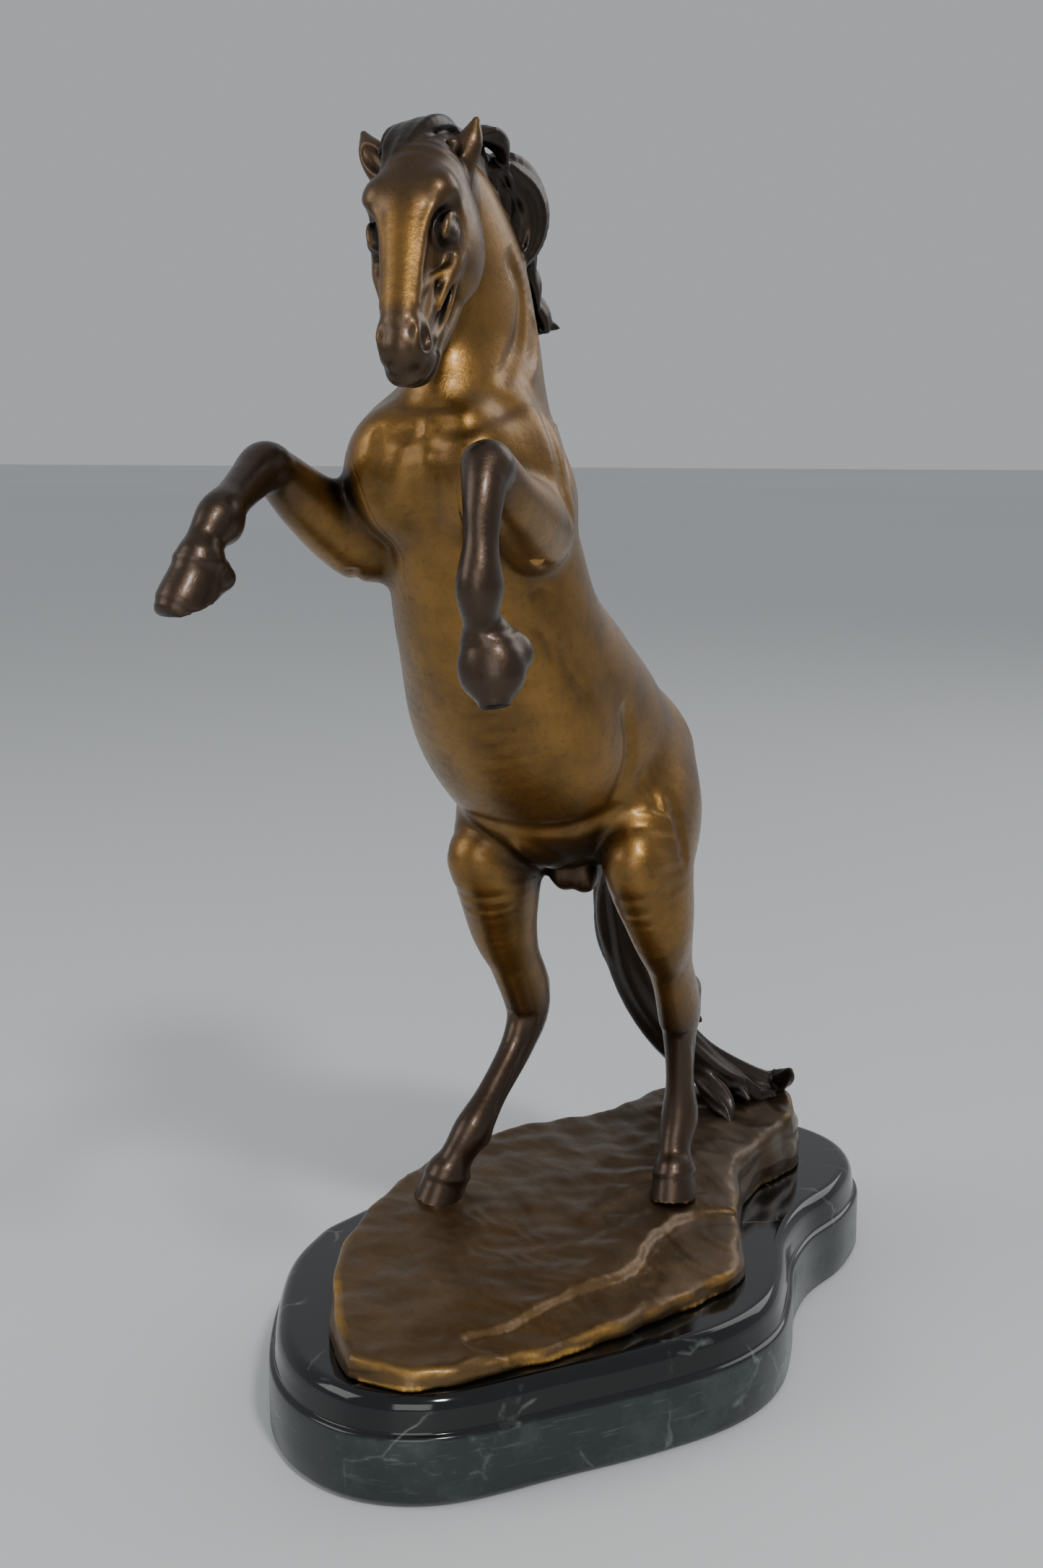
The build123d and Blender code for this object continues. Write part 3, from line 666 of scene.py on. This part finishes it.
def insideOf(region, forms, groove=0.0):
    # the clay of one casting; where it runs on past its joint it stays just under the other's skin
    def shape(points):
        here = region(points)
        skin = fieldOf(points, forms) + inset * np.clip(here / 1.5, 0, 1.3)
        return np.maximum(skin + groove * np.exp(-(here / 0.5) ** 2), here - overlap)
    return shape


def relax(points, quads, rounds, loose=1.0):
    # evens out the skin without shrinking it, as far as each point is loose
    for step in [0.5, -0.52] * rounds:
        total = np.zeros_like(points)
        count = np.zeros(len(points))
        for a, b in ((0, 1), (1, 2), (2, 3), (3, 0)):
            for one, two in ((quads[:, a], quads[:, b]), (quads[:, b], quads[:, a])):
                for k in range(3):
                    total[:, k] += np.bincount(one, points[two, k], len(points))
                count += np.bincount(one, minlength=len(points))
        points = points + step * loose * (total / np.maximum(count, 1)[:, None] - points)
    return points


def paint(piece, name, values):
    layer = piece.data.attributes.new(name, "FLOAT", "POINT")
    layer.data.foreach_set("value", np.clip(values, 0, 1).astype(np.float32))


def ramp(values, low, high):
    share = np.clip((values - low) / (high - low), 0, 1)
    return share * share * (3 - 2 * share)


def normalsOf(piece):
    normals = np.empty(len(piece.data.vertices) * 3, np.float32)
    piece.data.vertex_normals.foreach_get("vector", normals)
    return normals.reshape(-1, 3)


def patina(piece, points, forms):
    # how deep a point lies in a hollow, how sharp an edge it is on, and where it is darker: patina on the
    # face, eyes, limbs and ears, and painted shade under the belly between the hind legs
    normals = normalsOf(piece)
    near = 1 - fieldOf(points + normals * 1.2, forms) / 1.2
    wide = 1 - fieldOf(points + normals * 4.5, forms) / 4.5
    edge = 1 + fieldOf(points - normals * 1.2, forms) / 1.2
    paint(piece, "hollow", np.clip(near, 0, 1) * 0.9 + np.clip(wide, 0, 1) * 0.6)
    paint(piece, "edge", edge * 1.3 - np.clip(near, 0, 1) - 0.5 * np.clip(wide, 0, 1))
    down, out, left = ((points - headTop) @ way for way in (headWay, headFace, headSide))
    face = ramp(out, -19, -12) * ramp(down, -14, 0) * (points[:, 1] < -60)
    bridge = ramp(out, 3, 7) * ramp(-np.abs(left), -5, -2.5) * ramp(down, 24, 32) * ramp(-down, -56, -50)
    face = face * np.clip(0.45 + 0.4 * ramp(-down, -30, -16) + 0.45 * ramp(down, 50, 60) - 0.6 * bridge, 0, 1)
    raised = (points[:, 2] < 285) & (points[:, 2] > 200) & ((points[:, 0] < -24) | (points[:, 0] > 20))
    limbs = np.maximum(ramp(-points[:, 1], 84, 100) * raised, ramp(-points[:, 2], -118, -88))
    # painted shade under the belly, between the hind legs
    groin = 0.9 * ramp(-np.linalg.norm((points - [2, 4, 152]) / [1, 1, 0.8], axis=1), -26, -14)
    ears = 0.7 * (points[:, 2] > 338)
    eyes = ramp(-np.sqrt((down - 29.5) ** 2 + (out - 3) ** 2 + (np.abs(left) - 9) ** 2), -7, -3.5)
    paint(piece, "dark", np.maximum.reduce([face, limbs, groin, ears, eyes]))


# the skin's resolution in millimetres
sizes = {"body": 0.85, "limb": 0.65, "head": 0.48, "tail": 0.65, "ground": 0.95} if fine else \
    {"body": 1.3, "limb": 1.1, "head": 0.8, "tail": 1.1, "ground": 1.6}


def castingOf(name, node, region, forms, low, high, voxel, also=(), rounds=2, groove=0.0):
    forms = within(forms, low, high)
    shape = insideOf(region, forms, groove)
    points, quads = cast(name, shape, np.array(low, float), np.array(high, float), voxel)
    loose = ramp(-region(points), -0.5, 3)[:, None]  # the ends at the joints keep their edges
    points = relax(points, quads, rounds, loose)
    piece = meshOf(name, points, quads)
    patina(piece, points, forms)
    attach(piece, "root")
    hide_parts(node, *also)
    return piece


regions = {name: limbRegion(name) for name in joints}


def bodyRegion(points):
    others = [region(points) for region in regions.values()] + [neckRegion(points), tailRegion(points)]
    return -np.minimum.reduce(others)


pieces = {}
pieces["body"] = castingOf("bodyCasting", "body_casting", bodyRegion, coatForms,
                           (-46, -104, 122), (42, 68, 304), sizes["body"], also=("core_plugs",), rounds=3)
pieces["head"] = castingOf("headAndNeckCasting", "neck_casting", neckRegion, horseForms,
                           (-36, -122, 262), (30, 6, 356), sizes["head"], also=("neck_pins",), rounds=3)
limbCastings = {  # CAD node, lowest and highest corner of the space that is sampled, groove at the seam
    "rightForeleg": ("right_foreleg_casting", (-48, -152, 224), (-14, -50, 276), 0.35),
    "leftForeleg": ("left_foreleg_casting", (8, -122, 204), (44, -48, 276), 0.0),
    "rightHindLeg": ("right_hind_leg_casting", (-48, -28, 38), (-2, 46, 158), 0.0),
    "leftHindLeg": ("left_hind_leg_casting", (4, -22, 34), (46, 56, 160), 0.0),
}
for name, (node, low, high, seam) in limbCastings.items():
    pieces[name] = castingOf(name + "Casting", node, regions[name], coatForms, low, high, sizes["limb"],
                             rounds=3, groove=seam)
pieces["tail"] = castingOf("tailCasting", "tail_casting", tailRegion, hairForms,
                           (-26, 34, 36), (48, 124, 182), sizes["tail"], rounds=1)
print("castings made")

# rock ground
ground = {"top": 43.7, "slopeX": -0.112, "slopeY": 0.080, "foot": 29.5, "lean": 0.16, "step": 1.6}
groundOutline = smoothLine([
    (-15, -99), (-4, -99.5), (8, -95), (20, -79), (33, -60), (50, -25), (58, -2), (55, 14), (43, 46),
    (40, 68),
    (45, 98), (36, 120), (12, 112), (-5, 98), (-15, 72), (-28, 54), (-40, 34), (-49, 5), (-51, -20),
    (-47, -48), (-38, -70), (-26, -88), (-15, -99)], 5)
ledge = smoothLine([(70, -70), (12, -78), (15, -66), (21, -49), (30, -29), (34, -15), (33, 5), (40, 22),
                    (70, 30)], 5)


def outlineDistance(points, outline):
    # how far a point is from a closed outline seen from above, below zero inside it
    best = np.full(len(points), 1e6)
    inside = np.zeros(len(points), bool)
    for a, b in zip(outline, np.roll(outline, -1, 0)):
        along = b - a
        if not along.any():
            continue
        offset = points[:, :2] - a
        t = np.clip(offset @ along / (along @ along), 0, 1)
        best = np.minimum(best, ((offset - t[:, None] * along) ** 2).sum(1))
        crosses = (a[1] > points[:, 1]) != (b[1] > points[:, 1])
        if along[1]:
            inside ^= crosses & (points[:, 0] < a[0] + (points[:, 1] - a[1]) * along[0] / along[1])
    return np.where(inside, -1, 1) * np.sqrt(best)


def groundField(points):
    x, y, z = points.T
    wander = 3 * np.sin(x / 11 + 1) + 2.4 * np.sin(y / 17 + x / 23)
    top = ground["top"] + ground["slopeX"] * x + ground["slopeY"] * y
    back = ramp(y, -30, 50)
    rough = np.sin(x / 5.3 + 2 * np.sin(y / 9)) * np.sin(y / 4.1 + 1.7 * np.sin(x / 7 + 1))
    top = top + (0.12 + 0.4 * back) * rough + 0.16 * np.sin(x / 2.1 + 3 * rough) * np.sin(y / 1.7 + 2 * rough)
    top = top + (0.04 + 0.26 * back) * np.sin((y + wander + 0.35 * x) / 2.3) * np.sin(x / 9 + y / 17 + 0.6)
    swell = 0.5 * np.sin(x / 9 + 2) * np.sin(y / 12 + 0.5)
    top = top + swell + 0.3 * np.sin((x - y) / 5.1) * np.sin((x + y) / 7.3)
    low = outlineDistance(points, ledge) + 0.9 * np.sin(x / 6.1 + y / 9) + 0.5 * np.sin(y / 4.3 + rough)
    top = top - ground["step"] * ramp(-low, -2.6, 2.6) - 0.7 * np.exp(-(low / 0.9) ** 2)
    side = outlineDistance(points, groundOutline) + ground["lean"] * (z - ground["foot"])
    layer = np.sin(z / 1.15 + 1.3 * np.sin(x / 9 + y / 13))
    lumps = 0.5 * np.sin(x / 4.3 + 1) * np.sin(y / 5.7 + z / 3)
    side = side + 0.35 * layer + lumps + 0.3 * np.sin((x + y) / 2.9)
    upper = -softMin(-(z - top), -side, 2.6)
    return np.maximum(upper, ground["foot"] - z)


points, quads = cast("groundCasting", groundField, np.array([-64.0, -112, 27.4]), np.array([72.0, 134, 60]),
                     sizes["ground"])
points = relax(points, quads, 1)
rock = meshOf("groundCasting", points, quads)
normals = normalsOf(rock)
rim = 0.3 + 0.7 * ramp(outlineDistance(points, groundOutline), -9, -3)
paint(rock, "edge", (1 + groundField(points - normals * 1.5) / 1.5) * 1.8 * rim)
paint(rock, "hollow", (1 - groundField(points + normals * 1.5) / 1.5) * 1.6)
paint(rock, "dark", ramp(points[:, 1], -70, 90) * 0.8)
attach(rock, "root")
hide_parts("ground_casting")
print("ground made")

# marble base: one profile carried round the free-form outline
marble = {
    "columns": 360,
    "wall": 18.5, "bead": 20.5,  # where the sawn wall ends and the polished moulding begins
    # inset from the wall and height, from the underside up over the moulding
    "profile": [(0.8, 1.5), (0.2, 1.7), (0, 2.2), (0, 8), (0, 14), (0, 18.4), (0.15, 19.1), (0.6, 19.6),
                (1.2, 19.7),
                (1.5, 20), (1.6, 20.8), (1.7, 22), (2.0, 23.4), (2.1, 24.6), (2.3, 26), (2.8, 27.4),
                (3.7, 28.6),
                (4.8, 29.3), (6, 29.5), (6.6, 29.5)],
}
baseOutline = smoothLine([
    (-76, -13), (-72, -38), (-60, -65), (-46, -87), (-29, -101), (-8, -106), (14, -97), (36, -71), (53, -50),
    (67, -27), (72, -4), (68, 20), (62, 42), (60.5, 65), (64.5, 88), (62, 113), (50, 132), (30, 142),
    (8, 139), (-12, 122), (-28, 95), (-45, 62), (-66, 28), (-76, -13)], 8)


def ringOf(outline, inset, count):
    # points spaced evenly round the outline, moved in by the inset
    loop = outline[:-1] if np.allclose(outline[0], outline[-1]) else outline
    closed = np.vstack([loop, loop[:1]])
    far = np.concatenate([[0], np.cumsum(np.linalg.norm(np.diff(closed, axis=0), axis=1))])
    spots = np.linspace(0, far[-1], count, endpoint=False)
    ring = np.stack([np.interp(spots, far, closed[:, k]) for k in range(2)], 1)
    for _ in range(6):
        ring = (np.roll(ring, 1, 0) + ring * 2 + np.roll(ring, -1, 0)) / 4
    way = np.roll(ring, -1, 0) - np.roll(ring, 1, 0)
    way /= np.linalg.norm(way, axis=1)[:, None]
    return ring + np.stack([-way[:, 1], way[:, 0]], 1) * inset


def turned(name, outline, profile, count):
    # a closed mesh from the profile's rings, with flat faces at the bottom and the top
    rings = [np.hstack([ringOf(outline, inset, count), np.full((count, 1), height)]) for inset,
             height in profile]
    mesh = bpy.data.meshes.new(name)
    faces = [[k * count + i, k * count + (i + 1) % count, (k + 1) * count + (i + 1) % count,
              (k + 1) * count + i]
             for k in range(len(rings) - 1) for i in range(count)]
    faces.append(list(range(count))[::-1])
    faces.append([(len(rings) - 1) * count + i for i in range(count)])
    mesh.from_pydata((np.vstack(rings) * mm).tolist(), [], faces)
    mesh.polygons.foreach_set("use_smooth", [True] * (len(faces) - 2) + [False] * 2)
    mesh.update()
    piece = bpy.data.objects.new(name, mesh)
    bpy.context.scene.collection.objects.link(piece)
    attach(piece, "root")
    return piece


marbleBase = turned("marbleBase", baseOutline, marble["profile"], marble["columns"])
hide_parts("marble_base")
feltPad = turned("feltPad", baseOutline, [(3, 0), (2.6, 0.15), (2.5, 0.7), (2.6, 1.4), (3, 1.5)], 240)
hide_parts("felt_pad")
print("base made")


def newMaterial(name):
    material = bpy.data.materials.new(name)
    material.use_nodes = True
    return material, material.node_tree.nodes["Principled BSDF"]


def perMetre(sizeInMillimetres):
    # noise scale for features of that size
    return 1000 / sizeInMillimetres


bronzes = {
    # waxed golden brown patina over cast bronze: olive gold where it is rubbed, brown in the hollows
    "golden": {"bare": "#b98d42", "coat": "#866330", "brown": "#402e1a", "black": "#15100c",
               "darkLimb": "#43352a",
               "rough": 0.33, "metal": 0.92},
    # liver black patina on hair, brushed back to grey brown on the ridges
    "hair": {"bare": "#75614a", "coat": "#30271f", "brown": "#2a2019", "black": "#100d0b",
             "darkLimb": "#2c231c",
             "rough": 0.44, "metal": 0.8},
    # dark brown patina on the rocky ground, gold along the rubbed rims
    "rock": {"bare": "#bd9040", "coat": "#6a5130", "brown": "#45341f", "black": "#15100b",
             "darkLimb": "#46382a",
             "rough": 0.36, "metal": 0.85},
}


def castBronze(name, look, hairShare=False):
    material, shader = newMaterial(name)
    place = addNode(material, "ShaderNodeNewGeometry", output="Position")
    cloud = addNode(material, "ShaderNodeTexNoise",
                    {"Scale": perMetre(14), "Detail": 5.0, "Roughness": 0.6, "Vector": place}, "Fac")
    speck = addNode(material, "ShaderNodeTexNoise",
                    {"Scale": perMetre(1.6), "Detail": 6.0, "Roughness": 0.7, "Vector": place}, "Fac")
    grain = addNode(material, "ShaderNodeTexNoise",
                    {"Scale": perMetre(0.5), "Detail": 3.0, "Vector": place}, "Fac")
    hollow = addNode(material, "ShaderNodeAttribute", output="Fac", attribute_name="hollow")
    edge = addNode(material, "ShaderNodeAttribute", output="Fac", attribute_name="edge")
    dark = addNode(material, "ShaderNodeAttribute", output="Fac", attribute_name="dark")
    # cloudy brown over the gold
    cloudy = addNode(material, "ShaderNodeMapRange",
                     {"From Min": 0.38, "From Max": 0.68, "To Min": 0.0, "To Max": 0.55, "Value": cloud})
    colour = addNode(material, "ShaderNodeMix",
                     {"Factor": cloudy, 6: linear(look["coat"]), 7: linear(look["brown"])}, 2,
                     data_type="RGBA")
    # darker where the dark attribute is painted: on the horse, patina on the face, eyes, limbs and ears, and
    # painted shade between the hind legs; on the ground, darker towards the back
    colour = addNode(material, "ShaderNodeMix",
                     {"Factor": dark, 6: colour, 7: linear(look["darkLimb"])}, 2, data_type="RGBA")
    hair = None
    if hairShare:
        hair = addNode(material, "ShaderNodeAttribute", output="Fac", attribute_name="hair")
        colour = addNode(material, "ShaderNodeMix",
                         {"Factor": hair, 6: colour, 7: linear(bronzes["hair"]["coat"])}, 2, data_type="RGBA")
    # brown specks, and black where the patina gathers in the hollows
    specks = addNode(material, "ShaderNodeMapRange",
                     {"From Min": 0.56, "From Max": 0.72, "To Min": 0.0, "To Max": 0.5, "Value": speck})
    colour = addNode(material, "ShaderNodeMix",
                     {"Factor": specks, 6: colour, 7: linear(look["brown"])}, 2, data_type="RGBA")
    deep = addNode(material, "ShaderNodeMapRange",
                   {"From Min": 0.12, "From Max": 0.75, "To Min": 0.0, "To Max": 0.92, "Value": hollow})
    colour = addNode(material, "ShaderNodeMix",
                     {"Factor": deep, 6: colour, 7: linear(look["black"])}, 2, data_type="RGBA")
    # bare metal on the rubbed edges, less of it on the dark parts and none on the hair
    rubbed = addNode(material, "ShaderNodeMapRange",
                     {"From Min": 0.22, "From Max": 0.75, "To Min": 0.0, "To Max": 0.85, "Value": edge})
    patchy = addNode(material, "ShaderNodeMath", {0: speck, 1: 0.35}, operation="ADD", use_clamp=True)
    rubbed = addNode(material, "ShaderNodeMath", {0: rubbed, 1: patchy}, operation="MULTIPLY", use_clamp=True)
    covered = addNode(material, "ShaderNodeMath", {0: dark, 1: 0.7}, operation="MULTIPLY", use_clamp=True)
    clear = addNode(material, "ShaderNodeMath", {0: 1.0, 1: covered}, operation="SUBTRACT", use_clamp=True)
    rubbed = addNode(material, "ShaderNodeMath", {0: rubbed, 1: clear}, operation="MULTIPLY", use_clamp=True)
    if hairShare:
        bald = addNode(material, "ShaderNodeMath", {0: 1.0, 1: hair}, operation="SUBTRACT", use_clamp=True)
        rubbed = addNode(material, "ShaderNodeMath", {0: rubbed, 1: bald}, operation="MULTIPLY",
                         use_clamp=True)
    colour = addNode(material, "ShaderNodeMix",
                     {"Factor": rubbed, 6: colour, 7: linear(look["bare"])}, 2, data_type="RGBA")
    rough = addNode(material, "ShaderNodeMapRange", {"From Min": 0.3, "From Max": 0.7, "Value": speck,
                                                    "To Min": look["rough"] - 0.06,
                                                    "To Max": look["rough"] + 0.12})
    dull = addNode(material, "ShaderNodeMath", {0: hollow, 1: 0.18}, operation="MULTIPLY", use_clamp=True)
    rough = addNode(material, "ShaderNodeMath", {0: rough, 1: dull}, operation="ADD", use_clamp=True)
    fineBump = addNode(material, "ShaderNodeBump", {"Strength": 0.12, "Distance": 0.0002, "Height": grain})
    bump = addNode(material, "ShaderNodeBump",
                   {"Strength": 0.22, "Distance": 0.0006, "Height": speck, "Normal": fineBump})
    join(material, shader, {"Base Color": colour, "Metallic": look["metal"], "Roughness": rough,
                            "Normal": bump,
                            "Coat Weight": 0.25, "Coat Roughness": 0.22})  # the coat is the wax
    return material


def polishedMarble():
    # polished black marble: near black with thin pale veins, hazy and scratched on the sawn side wall
    material, shader = newMaterial("polishedBlackMarble")
    place = addNode(material, "ShaderNodeNewGeometry", output="Position")
    bend = addNode(material, "ShaderNodeTexNoise", {"Scale": perMetre(30), "Detail": 4.0, "Vector": place},
                   "Color")
    warped = addNode(material, "ShaderNodeVectorMath", {"Scale": 0.02, "Vector": bend}, operation="SCALE")
    moved = addNode(material, "ShaderNodeVectorMath", {0: place, 1: warped}, operation="ADD")
    vein = addNode(material, "ShaderNodeTexVoronoi", {"Scale": perMetre(28), "Vector": moved}, "Distance",
                   feature="DISTANCE_TO_EDGE")
    thin = addNode(material, "ShaderNodeMapRange",
                   {"From Min": 0.0, "From Max": 0.022, "To Min": 1.0, "To Max": 0.0, "Value": vein})
    cloud = addNode(material, "ShaderNodeTexNoise",
                    {"Scale": perMetre(22), "Detail": 6.0, "Roughness": 0.65, "Vector": place}, "Fac")
    patchy = addNode(material, "ShaderNodeMapRange",
                     {"From Min": 0.5, "From Max": 0.75, "To Min": 0.0, "To Max": 1.0, "Value": cloud})
    veins = addNode(material, "ShaderNodeMath", {0: thin, 1: patchy}, operation="MULTIPLY", use_clamp=True)
    stretch = addNode(material, "ShaderNodeMapping",
                      {"Rotation": (0.3, 0.5, 0.6), "Scale": (1, 1, 9), "Vector": place})
    scratch = addNode(material, "ShaderNodeTexNoise",
                      {"Scale": perMetre(9), "Detail": 5.0, "Vector": stretch}, "Fac")
    scratches = addNode(material, "ShaderNodeMapRange",
                        {"From Min": 0.6, "From Max": 0.75, "To Min": 0.0, "To Max": 0.35, "Value": scratch})
    # the sawn wall is below the moulding, on faces that look sideways
    normal = addNode(material, "ShaderNodeNewGeometry", output="Normal")
    upward = addNode(material, "ShaderNodeSeparateXYZ", {"Vector": normal}, "Z")
    height = addNode(material, "ShaderNodeSeparateXYZ", {"Vector": place}, "Z")
    wall = addNode(material, "ShaderNodeMapRange", {"From Min": marble["wall"] * mm, "Value": height,
                                                   "From Max": marble["bead"] * mm, "To Min": 1.0,
                                                   "To Max": 0.0})
    sideways = addNode(material, "ShaderNodeMath", {0: 1.0, 1: upward}, operation="SUBTRACT", use_clamp=True)
    side = addNode(material, "ShaderNodeMath", {0: wall, 1: sideways}, operation="MULTIPLY", use_clamp=True)
    colour = addNode(material, "ShaderNodeMix",
                     {"Factor": side, 6: linear("#0a0c0c"), 7: linear("#1d2423")}, 2, data_type="RGBA")
    milky = addNode(material, "ShaderNodeMath", {0: patchy, 1: 0.35}, operation="MULTIPLY", use_clamp=True)
    hazy = addNode(material, "ShaderNodeMath", {0: scratches, 1: milky}, operation="ADD", use_clamp=True)
    hazy = addNode(material, "ShaderNodeMath", {0: hazy, 1: side}, operation="MULTIPLY", use_clamp=True)
    colour = addNode(material, "ShaderNodeMix",
                     {"Factor": hazy, 6: colour, 7: linear("#56605c")}, 2, data_type="RGBA")
    pale = addNode(material, "ShaderNodeMath", {0: veins, 1: 0.7}, operation="MULTIPLY", use_clamp=True)
    colour = addNode(material, "ShaderNodeMix",
                     {"Factor": pale, 6: colour, 7: linear("#8d9690")}, 2, data_type="RGBA")
    worn = addNode(material, "ShaderNodeMath", {0: cloud, 1: scratches}, operation="ADD", use_clamp=True)
    amount = addNode(material, "ShaderNodeMath", {0: side, 1: 0.3}, operation="MULTIPLY", use_clamp=True)
    amount = addNode(material, "ShaderNodeMath", {0: amount, 1: 0.05}, operation="ADD", use_clamp=True)
    worn = addNode(material, "ShaderNodeMath", {0: worn, 1: amount}, operation="MULTIPLY", use_clamp=True)
    rough = addNode(material, "ShaderNodeMath", {0: 0.07, 1: worn}, operation="ADD", use_clamp=True)
    bump = addNode(material, "ShaderNodeBump", {"Strength": 0.08, "Distance": 0.0003, "Height": scratch})
    join(material, shader, {"Base Color": colour, "Roughness": rough, "Normal": bump})
    return material


def woolFelt():
    # pressed wool felt: matt, with short fibres lying every way
    material, shader = newMaterial("pressedWoolFelt")
    place = addNode(material, "ShaderNodeNewGeometry", output="Position")
    fibre = addNode(material, "ShaderNodeTexNoise", {"Scale": perMetre(0.8), "Detail": 8.0, "Roughness": 0.8,
                                                    "Distortion": 2.0, "Vector": place}, "Fac")
    colour = addNode(material, "ShaderNodeMix",
                     {"Factor": fibre, 6: linear("#10170f"), 7: linear("#2f4030")}, 2, data_type="RGBA")
    bump = addNode(material, "ShaderNodeBump", {"Strength": 0.7, "Distance": 0.0006, "Height": fibre})
    join(material, shader, {"Base Color": colour, "Roughness": 0.95, "Sheen Weight": 0.4, "Normal": bump})
    return material


def turnedMetal(name, light, stained, rough, step=0.3):
    # turned or drawn bar: fine tool lines and a few stains
    material, shader = newMaterial(name)
    place = addNode(material, "ShaderNodeNewGeometry", output="Position")
    squeezed = addNode(material, "ShaderNodeMapping", {"Scale": (0.1, 0.1, 1), "Vector": place})
    lines = addNode(material, "ShaderNodeTexNoise",
                    {"Scale": perMetre(step), "Detail": 2.0, "Vector": squeezed}, "Fac")
    stain = addNode(material, "ShaderNodeTexNoise", {"Scale": perMetre(4), "Detail": 5.0, "Vector": place},
                    "Fac")
    colour = addNode(material, "ShaderNodeMix",
                     {"Factor": stain, 6: linear(light), 7: linear(stained)}, 2, data_type="RGBA")
    spread = addNode(material, "ShaderNodeMapRange",
                     {"To Min": rough - 0.08, "To Max": rough + 0.15, "Value": lines})
    bump = addNode(material, "ShaderNodeBump", {"Strength": 0.15, "Distance": 0.0001, "Height": lines})
    join(material, shader, {"Base Color": colour, "Metallic": 1.0, "Roughness": spread, "Normal": bump})
    return material


coatBronze = castBronze("waxedCastBronze", bronzes["golden"], hairShare=True)
hairBronze = castBronze("blackenedCastBronze", bronzes["hair"])
rockBronze = castBronze("darkCastBronze", bronzes["rock"])
for name, piece in pieces.items():
    piece.data.materials.append(hairBronze if name == "tail" else coatBronze)
    count = len(piece.data.vertices)
    spots = np.empty(count * 3, np.float32)
    piece.data.vertices.foreach_get("co", spots)
    spots = spots.reshape(-1, 3) / mm
    if name == "head":
        share = ramp(fieldOf(spots, coatForms) - fieldOf(spots, maneForms), -0.7, 0.1)
        paint(piece, "hair", share)
    else:
        paint(piece, "hair", np.zeros(count))
rock.data.materials.append(rockBronze)
marbleBase.data.materials.append(polishedMarble())
feltPad.data.materials.append(woolFelt())
hardware = {
    "bronze_rod": turnedMetal("drawnBronzeRod", "#c79a62", "#8a6238", 0.3),
    "brass_hardware": turnedMetal("turnedBrass", "#d8b465", "#a17f3a", 0.28),
    "steel_hardware": turnedMetal("zincPlatedSteel", "#c9ccd0", "#9aa0a8", 0.32),
}
hardwareOf = {
    "bronze_rod": ("foreleg_dowels", "thigh_dowels", "tail_dowel", "neck_pins"),
    "brass_hardware": ("ground_studs", "stud_washers", "stud_nuts"),
    "steel_hardware": ("base_screws", "base_washers"),
}
for slot, nodes in hardwareOf.items():
    for node in nodes:
        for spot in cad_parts[node].material_slots:
            spot.material = hardware[slot]
print("materials made")

# floor, light and camera
floorMesh = bpy.data.meshes.new("floor")
floorMesh.from_pydata([(-20, -20, 0), (20, -20, 0), (20, 20, 0), (-20, 20, 0)], [], [(0, 1, 2, 3)])
floor = bpy.data.objects.new("floor", floorMesh)
bpy.context.scene.collection.objects.link(floor)
floor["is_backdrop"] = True
paper, shader = newMaterial("paleTable")
tone = addNode(paper, "ShaderNodeTexNoise", {"Scale": perMetre(60), "Detail": 4.0}, "Fac")
join(paper, shader, {"Roughness": 0.5, "Base Color": addNode(
    paper, "ShaderNodeMix", {"Factor": tone, 6: linear("#d3d6d6"), 7: linear("#c6caca")}, 2,
    data_type="RGBA")})
floorMesh.materials.append(paper)


def areaLight(name, place, aim, size, power):
    data = bpy.data.lights.new(name, "AREA")
    data.size, data.energy = size, power
    lamp = bpy.data.objects.new(name, data)
    lamp.location = place
    lamp.rotation_euler = (Vector(aim) - Vector(place)).to_track_quat("-Z", "Y").to_euler()
    bpy.context.scene.collection.objects.link(lamp)
    return lamp


lights = {  # place, size and power; all look at the horse
    "keyLight": ((0.75, -0.75, 1.2), 0.16, 11), "windowLight": ((-1.1, -0.9, 0.9), 0.9, 7),
    "frontLight": ((0.5, -1.3, 0.5), 0.7, 4), "backLight": ((0.6, 1.3, 1.1), 1.0, 6),
}
for name, (place, size, power) in lights.items():
    areaLight(name, place, (0, 0, 0.2), size, power)
studio = {"colour": "#c4c6ca", "strength": 0.75}
world = bpy.data.worlds.new("studio")
bpy.context.scene.world = world
world.use_nodes = True
world.node_tree.nodes["Background"].inputs["Color"].default_value = linear(studio["colour"])
world.node_tree.nodes["Background"].inputs["Strength"].default_value = studio["strength"]

view = {"azimuth": 25.1, "pitch": 9.9, "place": (226, -507, 269), "lens": 44.81}
azimuth, pitch = math.radians(view["azimuth"]), math.radians(view["pitch"])
camera = bpy.data.objects.new("camera", bpy.data.cameras.new("camera"))
camera.data.lens, camera.data.sensor_width = view["lens"], 36
camera.location = Vector(view["place"]) * mm
sight = Vector((-math.sin(azimuth) * math.cos(pitch), math.cos(azimuth) * math.cos(pitch), -math.sin(pitch)))
camera.rotation_euler = sight.to_track_quat("-Z", "Y").to_euler()
camera.data.clip_start = 0.01
bpy.context.scene.collection.objects.link(camera)
bpy.context.scene.camera = camera

low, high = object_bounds()
